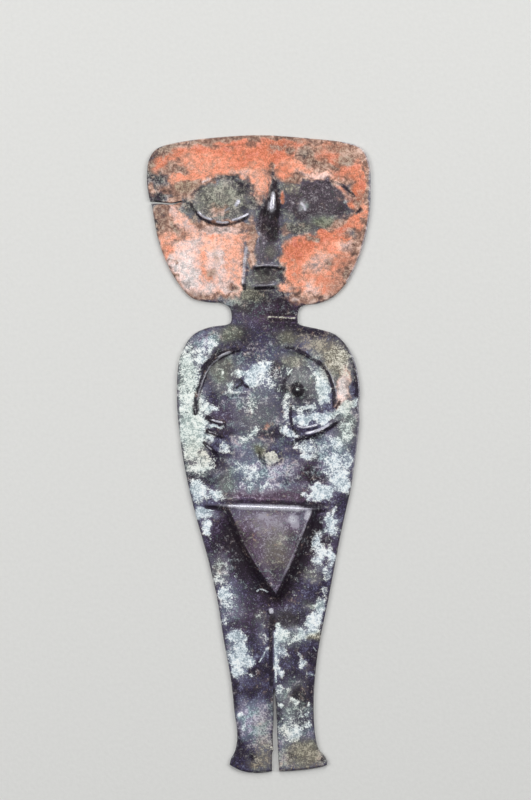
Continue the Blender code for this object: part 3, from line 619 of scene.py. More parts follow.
        (24.6, 69.8, 3.6, 1.3, 20, 0.8), (11.6, 64.0, 4.6, 3.8, 0, 1.2), (10.4, 57.6, 3.2, 5.0, 0, 1.1),
        (19.4, 68.0, 3.2, 1.9, 0, 1.3), (20.0, 60.0, 8.6, 6.6, 0, 0.8), (16.0, 53.6, 7.4, 3.6, 0, 1.0),
        (7.2, 52.4, 2.4, 1.5), (6.4, 61.2, 1.4, 1.0, 0, 0.9), (24.6, 66.0, 3.6, 2.2, 0, 0.85),
        (-28.0, 77.4, 1.6, 2.6, 20, 0.85), (-24.2, 73.4, 5.0, 1.7, -42, 1.05), (-29.4, 69.0, 2.8, 1.8),
        (-30.4, 66.4, 1.6, 1.8, 0, 0.75), (-19.6, 62.0, 11.4, 8.4, 0, 1.1, 0.6),
        (-9.4, 62.0, 3.2, 8.4, 0, 1.05), (-14.0, 68.6, 9.4, 1.8), (-18.0, 53.4, 8.6, 2.4, 0, 0.9),
        (-11.4, 52.6, 3.4, 1.8, 0, 0.75), (-17.0, 87.2, 1.8, 1.0, 30), (-5.8, 88.8, 3.8, 1.4, 0, 1.0),
        (-13.6, 76.4, 2.6, 1.0, 0, 0.35), (-12.4, 71.2, 6.4, 1.2, 0, 0.6), (9.8, 48.4, 2.8, 1.2, 0, 0.7),
        (30.2, 71.6, 1.6, 2.0, 0, 0.8), (24.0, 20.0, 2.0, 5.2, -8, 0.8), (22.8, 14.6, 1.6, 1.2, 0, 0.8),
        (0.0, 9.4, 1.1, 0.7, 0, 0.35), (4.6, 58.0, 1.4, 0.6, 0, 0.4),
    ),
    Layer.GRIME: (
        # forehead
        (-30.0, 96.4, 4.6, 1.5, 25, 1.1), (-28.6, 96.4, 1.4, 0.8, 20, 0.9), (-33.4, 93.8, 1.2, 2.2, 0, 0.7),
        (-25.0, 91.3, 1.8, 1.2, 0, 0.9), (-29.2, 92.0, 1.6, 1.2, 0, 0.6), (-21.4, 90.4, 1.2, 0.7, 0, 0.55),
        (-28.4, 90.0, 3.0, 1.0, 0, 0.5), (-24.0, 94.6, 3.0, 1.0, 0, 0.35), (-23.6, 84.6, 3.6, 2.2, 8, 0.8),
        (-4.0, 99.8, 12.0, 0.7, 0, 0.6), (10.0, 98.8, 8.0, 0.8, -4, 0.6), (-17.0, 98.6, 8.0, 0.7, 4, 0.55),
        (14.4, 94.4, 1.9, 2.0, 0, 0.95), (9.2, 95.6, 1.6, 1.0, 0, 0.8), (17.0, 91.8, 4.4, 1.5, -15, 0.7),
        (23.8, 95.8, 4.6, 1.2, -6, 0.65), (27.4, 92.0, 2.0, 2.0, 0, 0.65), (23.4, 89.4, 1.8, 0.8, -35, 0.8),
        (25.0, 91.6, 0.9, 0.5, 0, 0.8), (19.0, 95.4, 2.4, 1.4, 0, 0.5), (10.2, 86.8, 1.8, 1.2, 0, 0.6),
        (5.6, 96.4, 4.0, 1.6, 0, 0.75), (4.4, 87.4, 0.7, 2.0, 0, 0.3), (31.0, 80.0, 2.0, 2.4, 0, 0.8),
        (25.6, 92.6, 2.4, 1.2, 0, 0.5), (-34.2, 91.6, 1.2, 2.6, 0, 0.9),
        # left cheek
        (-32.0, 75.4, 2.4, 4.4, -8, 0.7), (-31.4, 77.6, 1.0, 1.6, 0, 0.7), (-26.9, 72.4, 0.9, 2.4, 40, 0.8),
        (-26.0, 68.9, 0.6, 1.9, -35, 0.8), (-22.6, 69.3, 1.0, 0.6, -30, 0.7),
        (-19.9, 67.4, 0.6, 0.6, 0, 0.7), (-16.4, 70.9, 1.8, 0.8, 0, 0.4), (-21.0, 74.6, 2.0, 2.0, 0, 0.6),
        (-14.9, 62.6, 0.8, 3.0, 15, 0.6), (-16.4, 57.0, 1.6, 2.0, 0, 0.7), (-9.9, 53.0, 1.1, 1.4, 0, 0.9),
        (-27.2, 61.6, 1.4, 0.9, 0, 0.5), (-27.1, 57.5, 0.6, 0.4, 0, 1.0), (-22.1, 57.5, 0.5, 0.4, 0, 0.9),
        (-20.7, 50.8, 4.0, 1.0, -12, 0.6), (-23.4, 54.4, 2.0, 0.5, 20, 0.5),
        (-12.2, 59.2, 0.6, 1.6, 20, 0.5), (-3.0, 70.0, 1.2, 3.0, 0, 0.6),
        # right cheek
        (16.6, 67.4, 1.2, 1.2, 0, 1.0), (21.4, 59.6, 1.9, 1.5, 0, 0.85), (25.8, 55.8, 1.6, 1.6, -30, 0.85),
        (25.4, 60.4, 2.4, 2.4, 0, 0.4), (9.7, 55.6, 0.7, 0.9, 0, 0.6), (9.4, 61.2, 0.8, 0.8, 0, 0.6),
        (22.0, 52.4, 4.0, 2.4, -25, 0.45), (15.4, 48.8, 5.0, 0.9, 3, 0.45),
        (28.4, 64.6, 1.2, 3.0, -20, 0.4), (24.4, 73.8, 2.4, 1.0, 30, 0.5), (26.0, 71.0, 4.0, 1.8, 30, 0.3),
    ),
}

# Smooth dark metal on the face, free of film: the right eye, the nose and the mouth.
BARE_PLACES: Rows = (
    (17.4, 79.0, 10.4, 7.0, -4, 1.0, 0.3), (3.9, 79.4, 1.6, 5.4, 0, 1.0, 0.4),
    (2.6, 75.0, 3.4, 4.0, 0, 1.0, 0.4), (2.0, 72.0, 4.0, 7.0, 0, 1.0, 0.4),
    (1.0, 64.0, 3.8, 4.6, 0, 0.8, 0.5), (0.6, 56.6, 4.4, 3.6, 0, 0.6, 0.5),
)

# Where the paint has fallen off again.
PAINT_LOSSES: Rows = (
    (-25.8, 91.0, 2.2, 1.5, -10, 0.4), (-31.8, 87.2, 2.8, 1.7, 0, 0.8), (-20.0, 98.6, 16.0, 0.6, 3, 0.5),
    (-31.5, 96.8, 3.2, 0.8, 28, 0.7), (-3.0, 100.0, 9.0, 0.5, 0, 0.5), (8.0, 99.3, 5.0, 0.5, -4, 0.5),
    (4.2, 89.4, 0.7, 2.0, 0, 0.7), (13.8, 94.2, 2.0, 2.0, 0, 0.5), (22.4, 89.4, 1.8, 0.8, -30, 0.4),
    (27.4, 91.2, 2.4, 0.8, -20, 0.4), (16.6, 67.2, 1.2, 1.0, 0, 0.9), (21.0, 59.0, 1.4, 0.7, 0, 0.5),
    (26.8, 57.0, 1.2, 2.4, -30, 0.4), (30.6, 64.0, 1.2, 3.0, -15, 0.3), (-16.6, 57.6, 1.8, 1.9, 0, 0.5),
    (-10.2, 53.2, 0.9, 0.9, 0, 0.8), (-27.4, 60.6, 0.5, 0.5, 0, 0.8), (-27.6, 57.4, 0.9, 0.4, 0, 0.9),
    (-28.2, 62.2, 0.9, 0.4, -30, 0.7), (-22.0, 57.6, 0.5, 0.4, 0, 0.7), (-31.4, 75.6, 1.4, 3.6, 0, 0.6),
    (33.4, 88.0, 0.8, 10.0, 0, 0.6), (6.6, 49.8, 0.7, 1.8, 0, 0.8), (5.0, 61.4, 0.9, 2.0, 0, 0.5),
    (5.6, 56.4, 1.2, 2.6, 0, 0.9),
)

# The paint's tone: the first five values of a Stain, and the tone from 0 chalky cream to 1 vermilion.
PAINT_TONES: Rows = (
    # forehead and round the right eye
    (-17.0, 91.8, 8.0, 3.4, 4, 0.62), (-6.0, 95.8, 9.0, 2.6, 0, 0.82), (0.0, 92.0, 8.0, 2.6, 0, 0.8),
    (-31.0, 92.4, 4.0, 4.0, 0, 0.78), (-26.0, 95.4, 5.0, 2.0, 8, 0.74), (-18.0, 96.6, 6.0, 1.6, 0, 0.74),
    (6.0, 96.0, 6.0, 3.0, 0, 0.86), (11.0, 90.2, 4.4, 1.4, -20, 0.55), (8.4, 88.2, 2.0, 2.0, 0, 0.75),
    (20.0, 96.0, 8.0, 2.0, 0, 0.68), (21.6, 93.0, 4.0, 2.4, -20, 0.8), (26.0, 88.0, 4.0, 3.6, 0, 0.8),
    (31.0, 83.0, 2.6, 4.0, 0, 0.88), (30.6, 89.6, 2.6, 3.0, 0, 0.7), (33.6, 88.0, 0.9, 10.0, 0, 0.15),
    (0.0, 86.6, 2.4, 5.0, 0, 0.52), (-24.6, 87.6, 4.6, 0.9, 6, 0.6), (-16.9, 86.9, 1.6, 0.7, 30, 0.12),
    (-5.4, 89.2, 3.4, 1.1, 0, 0.42), (-17.6, 88.8, 5.0, 1.2, 8, 0.68), (18.3, 87.0, 4.4, 1.1, -8, 0.2),
    (32.4, 77.0, 1.6, 4.0, 0, 0.6), (26.8, 80.8, 5.0, 1.0, -54, 0.8), (6.6, 80.5, 1.0, 2.4, 0, 0.8),
    (28.8, 73.0, 3.8, 1.8, 35, 0.75), (25.0, 69.2, 4.0, 2.4, 20, 0.82),
    # right cheek
    (11.6, 64.4, 4.4, 3.6, 0, 0.9), (8.8, 58.4, 2.2, 3.6, 0, 0.7), (19.2, 68.0, 3.0, 1.8, 0, 0.85),
    (17.0, 60.6, 4.0, 3.0, 0, 0.4), (20.0, 64.0, 4.0, 1.6, 0, 0.72), (26.4, 64.6, 2.8, 1.6, 0, 0.3),
    (25.4, 60.0, 2.6, 2.4, 0, 0.7), (21.0, 53.6, 4.4, 3.4, 0, 0.66), (11.0, 54.0, 2.6, 3.0, 0, 0.62),
    (15.4, 51.8, 2.4, 2.0, 0, 0.25), (6.9, 52.6, 2.0, 1.4, 0, 0.5),
    # left cheek and the rest of the head
    (-28.0, 78.4, 2.0, 1.6, 0, 0.3), (-24.6, 73.6, 4.4, 1.7, -42, 0.33), (-29.4, 69.0, 2.6, 1.6, 0, 0.5),
    (-24.8, 60.0, 3.8, 4.0, 0, 0.0), (-22.8, 55.8, 3.4, 2.2, 0, 0.06), (-24.0, 65.6, 3.4, 2.8, 0, 0.2),
    (-19.8, 67.0, 3.0, 2.2, 0, 0.28), (-19.4, 61.8, 1.6, 1.6, 0, 0.45), (-18.8, 56.2, 1.4, 1.2, 0, 0.5),
    (-14.6, 61.6, 2.4, 4.6, 0, 0.16), (-8.8, 60.0, 2.0, 5.4, 0, 0.42), (-10.8, 67.6, 4.0, 1.8, 0, 0.4),
    (-19.6, 52.4, 5.0, 1.8, 0, 0.14), (-10.4, 52.6, 2.0, 2.0, 0, 0.12), (-12.4, 55.6, 2.6, 2.4, 0, 0.2),
    (-33.0, 78.0, 2.0, 3.0, 0, 0.2), (-12.4, 71.2, 6.4, 1.2, 0, 0.12), (9.8, 48.4, 2.8, 1.2, 0, 0.1),
    (30.2, 71.6, 1.6, 2.0, 0, 0.75), (-13.6, 76.4, 3.4, 2.0, 0, 0.1),
    # body
    (24.0, 20.0, 2.4, 6.0, 0, 0.02), (0.0, 9.4, 2.0, 2.0, 0, 0.6),
)

# How much darker, or with a minus lighter, the tarnish is than the even purple-grey. Some rows are painted
# shade and some are painted highlights, named where they stand.
TARNISH_SHADE_AND_LIGHT_PLACES: Rows = (
    # head
    (-16.0, 81.0, 2.2, 1.8, 0, 0.5), (-5.0, 84.0, 1.8, 2.6, 0, 0.55), (-5.2, 77.8, 1.2, 2.2, 0, 0.4),
    (-9.4, 88.0, 2.6, 0.7, -8, 0.5), (-22.6, 79.0, 0.7, 2.0, 8, 0.45), (-20.4, 83.4, 1.4, 1.4, 0, 0.25),
    (-9.6, 84.4, 3.4, 0.7, 10, 0.35), (-13.6, 85.4, 2.4, 1.0, 0, -0.2), (-8.4, 80.6, 1.6, 1.2, 0, -0.15),
    (-18.6, 82.6, 1.2, 1.4, 0, 0.2), (-14.4, 83.4, 1.6, 0.6, 0, 0.25), (-10.8, 80.0, 1.0, 0.8, 0, 0.3),
    (-20.0, 80.4, 1.2, 1.8, 0, -0.25), (-17.4, 77.8, 0.7, 1.5, 20, 0.25), (-16.2, 78.8, 0.7, 1.2, 20, -0.2),
    (-13.4, 77.2, 2.0, 1.0, 0, -0.2), (-6.4, 82.2, 1.1, 1.2, 0, 0.3), (-12.0, 82.0, 1.2, 0.6, 0, -0.15),
    (-33.4, 88.6, 2.4, 1.5, 0, 0.45), (-30.2, 87.8, 2.2, 1.4, 0, 0.3), (-32.0, 85.2, 0.9, 1.8, 0, 0.35),
    # (-2.0, 79.8): painted shade beside the nose
    (-2.0, 79.8, 1.4, 2.0, 0, 0.5), (26.0, 77.4, 2.2, 2.6, 0, 0.2), (-29.4, 84.6, 1.6, 1.8, 0, 0.1),
    (-33.0, 82.2, 2.4, 1.3, 0, 0.55), (-30.6, 81.8, 1.6, 0.8, 0, 0.35), (-25.6, 91.2, 1.7, 1.1, -10, 0.35),
    (-27.6, 95.6, 1.4, 0.6, 10, 0.2), (-31.4, 77.0, 0.9, 1.8, 0, 0.45), (-33.6, 72.6, 1.2, 3.4, -8, 0.7),
    (-30.8, 74.2, 1.2, 1.0, 0, 0.3), (-26.0, 98.0, 7.0, 0.6, 8, 0.4), (-32.6, 96.0, 2.4, 0.9, 35, 0.45),
    (-34.6, 91.0, 0.7, 3.0, 0, 0.4), (-4.0, 100.2, 8.0, 0.5, 0, 0.2), (13.4, 94.2, 1.6, 1.8, 0, 0.4),
    (9.0, 95.6, 2.2, 1.0, 0, 0.3), (4.2, 89.6, 0.8, 1.8, 0, 0.15), (16.0, 97.8, 3.0, 0.5, 0, 0.3),
    (23.0, 89.6, 1.6, 0.6, -30, 0.2), (27.6, 91.2, 2.0, 0.6, -20, 0.2), (27.6, 82.6, 1.2, 0.8, -45, 0.2),
    (16.0, 83.8, 5.0, 2.0, 0, 0.18), (9.0, 79.6, 2.4, 4.0, 0, 0.1), (19.6, 93.4, 8.0, 3.2, -8, 0.16),
    (25.6, 88.6, 3.0, 3.0, 0, 0.1), (22.0, 57.0, 4.4, 4.0, 0, 0.12), (29.6, 75.8, 1.8, 0.9, 0, 0.35),
    (26.4, 73.4, 2.0, 0.8, 30, 0.2), (10.0, 70.6, 4.0, 1.4, 0, 0.3), (-16.0, 99.2, 14.0, 0.8, 2, 0.2),
    (12.0, 99.0, 8.0, 0.7, -4, 0.25), (27.0, 97.0, 5.0, 0.6, -14, 0.25), (20.0, 76.2, 5.0, 1.4, 0, -0.15),
    # (13.2, 77.6): lighter, the right eye's painted glint. (4.1, 81.6) to (2.8, 69.6): the nose's dark column
    # and the dark under it, tarnish with painted shade.
    (0.0, 69.6, 2.0, 2.4, 0, -0.2), (28.0, 80.2, 0.8, 1.4, -20, 0.3), (13.2, 77.6, 1.3, 1.5, 0, -0.4),
    (19.4, 73.0, 4.4, 1.4, 0, -0.3), (4.1, 81.6, 1.5, 4.0, 0, 0.85), (2.8, 77.0, 3.0, 2.6, 0, 0.75),
    (2.0, 73.0, 3.8, 3.0, 0, 0.25), (2.8, 69.6, 2.8, 2.6, 0, 0.35), (0.4, 63.4, 3.0, 3.0, 0, -0.12),
    (4.2, 85.0, 0.9, 1.4, 0, 0.5), (0.6, 58.0, 3.4, 0.9, 0, 0.4), (0.6, 55.6, 3.6, 1.6, 0, 0.12),
    (0.6, 49.4, 4.6, 1.4, 0, 0.3), (0.6, 51.4, 4.0, 0.9, 0, 0.4), (16.2, 66.7, 1.1, 0.6, 0, 0.5),
    (26.2, 56.4, 0.6, 1.0, -30, 0.3), (17.0, 48.4, 3.0, 0.8, 10, 0.3), (-16.8, 57.6, 1.5, 1.7, 0, 0.3),
    (-27.4, 60.6, 0.5, 0.5, 0, 0.3), (-27.7, 57.4, 0.8, 0.35, 0, 0.5), (-10.4, 53.2, 0.8, 0.8, 0, 0.45),
    (5.4, 61.6, 0.8, 2.0, 0, 0.2), (6.0, 56.4, 1.2, 2.4, 0, 0.5),
    # neck, chest, arms and sides
    (0.0, 46.0, 10.0, 3.6, 0, 0.3), (-2.0, 36.4, 9.0, 4.0, 0, 0.2), (-7.0, 30.6, 3.0, 2.0, 0, 0.25),
    (4.0, 27.0, 2.0, 2.4, 0, 0.25), (-3.0, 13.6, 3.0, 1.8, 0, 0.05), (3.0, 7.0, 4.0, 2.4, 0, 0.2),
    (-10.0, 12.0, 5.0, 2.4, 0, -0.12), (7.0, 46.0, 4.0, 2.6, 0, 0.25), (6.0, 48.2, 1.2, 1.2, 0, 0.3),
    (5.0, 44.2, 6.0, 0.8, 0, 0.3), (5.0, 41.2, 6.0, 1.0, 0, 0.3), (14.0, 38.6, 7.0, 1.8, -12, 0.5),
    (26.4, 33.6, 1.3, 4.6, 28, 0.45), (28.3, 23.0, 0.8, 9.0, 3, 0.6), (-2.0, 35.0, 5.0, 4.0, 0, 0.12),
    (-16.0, 17.6, 3.0, 3.0, 0, 0.2), (-12.4, 15.0, 3.6, 3.4, 0, 0.1), (-16.0, -2.0, 3.0, 2.6, 0, 0.3),
    (-13.0, 0.0, 3.0, 2.0, 0, 0.15), (-24.6, -6.4, 2.0, 1.6, 0, 0.4), (14.6, -2.6, 1.8, 2.4, 0, 0.3),
    (-14.0, 8.0, 4.0, 2.0, 0, 0.25), (-12.4, 6.0, 2.0, 2.6, 0, 0.15), (7.0, 20.6, 1.6, 1.4, 0, 0.6),
    (4.6, 20.6, 1.2, 3.4, 0, 0.4), (11.0, 18.0, 3.4, 2.2, 0, 0.35), (-7.8, 22.2, 2.2, 1.6, 0, 0.0),
    (2.4, 26.6, 1.6, 3.4, 0, 0.15), (4.0, 5.6, 5.0, 2.0, 0, 0.1), (8.6, 3.6, 4.0, 0.9, 10, 0.35),
    (15.6, 5.2, 2.6, 0.9, 8, 0.45), (10.0, 9.8, 1.6, 1.0, 0, 0.2),
    # belly, hips and thighs
    (-17.0, -0.4, 1.4, 3.4, 0, 0.3), (-19.6, -7.4, 5.0, 1.3, 0, 0.4), (13.4, -6.2, 2.8, 2.0, -10, 0.5),
    (16.0, -8.2, 3.0, 0.9, 0, 0.5), (7.0, -7.6, 3.6, 1.8, 0, 0.25), (0.0, -12.8, 15.0, 1.8, -3, -0.3),
    (11.4, -14.4, 2.0, 1.0, -30, 0.4), (23.0, -15.8, 2.4, 2.6, 0, 0.3), (16.6, -18.6, 2.2, 1.6, 0, -0.5),
    # (-9.8, -28.4), (10.2, -28.4) and (-10.6, -33.0): painted shade beside the triangle's flanks
    (-15.4, -18.4, 2.4, 2.2, 0, -0.5), (-9.8, -28.4, 1.5, 3.6, 26, 0.6), (10.2, -28.4, 1.5, 3.4, -24, 1.0),
    (-16.4, -27.4, 3.4, 3.4, 0, 0.4), (-10.6, -33.0, 2.6, 5.0, 0, 0.6), (-6.4, -45.0, 4.0, 3.4, 0, 0.2),
    (2.0, -48.0, 3.0, 2.4, 0, -0.2), (-2.4, -44.0, 2.6, 1.8, 0, -0.3), (14.2, -23.6, 1.6, 2.4, 0, 0.75),
    (17.6, -27.2, 1.6, 1.2, 0, 0.5), (8.6, -34.0, 1.6, 4.0, -15, 0.2), (16.4, -40.0, 1.4, 2.6, 0, 0.3),
    (13.6, -44.0, 3.0, 2.0, 0, 0.25), (-9.6, -41.0, 3.0, 4.0, 0, 0.15),
    # legs
    (-8.0, -52.4, 4.0, 3.0, 0, 0.15), (-12.6, -53.4, 2.0, 1.2, 0, 0.3), (-6.0, -59.6, 2.2, 4.0, 0, 0.28),
    (-3.6, -67.6, 3.0, 2.6, 0, 0.5), (-7.0, -68.0, 1.6, 1.0, 40, 0.4), (-8.0, -73.8, 5.0, 1.2, 0, 0.35),
    (-12.6, -74.0, 1.2, 5.0, 0, 0.5), (-1.8, -77.0, 1.2, 6.0, 0, 0.2), (7.0, -62.6, 4.0, 3.0, 0, 0.22),
    (9.0, -77.8, 2.0, 1.6, 0, 0.3), (12.4, -64.6, 1.5, 4.4, 0, 0.5), (6.4, -51.6, 5.0, 1.6, 0, 0.2),
    (11.6, -74.0, 1.2, 4.4, 0, 0.4), (5.6, -69.6, 3.4, 2.6, 0, 0.25), (7.0, -75.6, 1.9, 1.8, 0, 0.5),
    (-10.6, -92.4, 3.4, 3.0, 20, 0.35), (-13.4, -96.2, 1.8, 1.6, 0, 0.3), (-8.6, -96.6, 3.0, 1.6, 0, 0.1),
    (-12.2, -88.0, 0.9, 5.0, 0, 0.45), (4.9, -95.0, 1.5, 0.9, 0, 0.8), (-6.8, -94.4, 1.3, 1.0, 0, 0.8),
    (8.4, -83.4, 2.0, 4.0, 0, 0.25), (14.0, -96.0, 1.2, 0.8, 0, 0.5), (-1.0, -90.0, 0.6, 4.0, 0, 0.4),
    (1.2, -82.0, 0.8, 3.0, 0, 0.4),
    # the triangle's face: the lighter rows at its top paint light on it, (7.2, -20.6), (-2.4, -19.4) and
    # (12.0, -18.4) are painted highlights, and the darker rows on its left flank are painted shade
    (0.6, -20.6, 10.0, 3.2, 0, -0.38), (1.0, -28.6, 4.0, 5.4, 0, -0.26), (7.2, -20.6, 1.6, 1.4, 0, -0.7),
    (-2.4, -19.4, 2.6, 1.0, 0, -0.35), (-8.4, -22.6, 1.8, 3.0, 28, 0.12), (1.4, -35.6, 2.6, 5.0, 0, 0.12),
    (9.4, -22.4, 1.0, 2.0, -20, 0.15), (2.0, -23.0, 1.6, 2.6, 0, -0.1), (-7.6, -25.6, 1.8, 3.0, 30, 0.15),
    (7.0, -25.0, 1.8, 2.4, 0, 0.15), (1.6, -38.0, 2.0, 3.4, 0, 0.15), (12.0, -18.4, 0.8, 1.2, -20, -0.6),
)


@dataclass(frozen=True)
class Stroke:
    """A line worked or scratched into the sheet, or left standing on it."""

    path: Path
    half: float              # half its width, in plan millimetres
    rise: float = 0.0        # height in millimetres, negative for a groove
    dark: float = 0.0        # dirt that collects along it, with painted shade in its groove and on the shaded side of its ridge
    bright: float = 0.0      # how far its top is worn to bare silver, with painted highlight where it stands lit
    crust: float = 0.0       # pale deposit along it
    taper: float = 0.1       # the share of its length over which each end runs out

    def strength(self, x: np.ndarray, y: np.ndarray) -> np.ndarray:
        """1 along the line, falling smoothly to 0 at its sides."""
        return ridge(x, y, self.path, self.half, self.taper)

    def stain(self, x: np.ndarray, y: np.ndarray) -> np.ndarray:
        """Its strength as colour: 1 across most of its width, with crisp sides."""
        return np.clip(LINE_GAIN * self.strength(x, y) - LINE_LOSS, 0.0, 1.0)


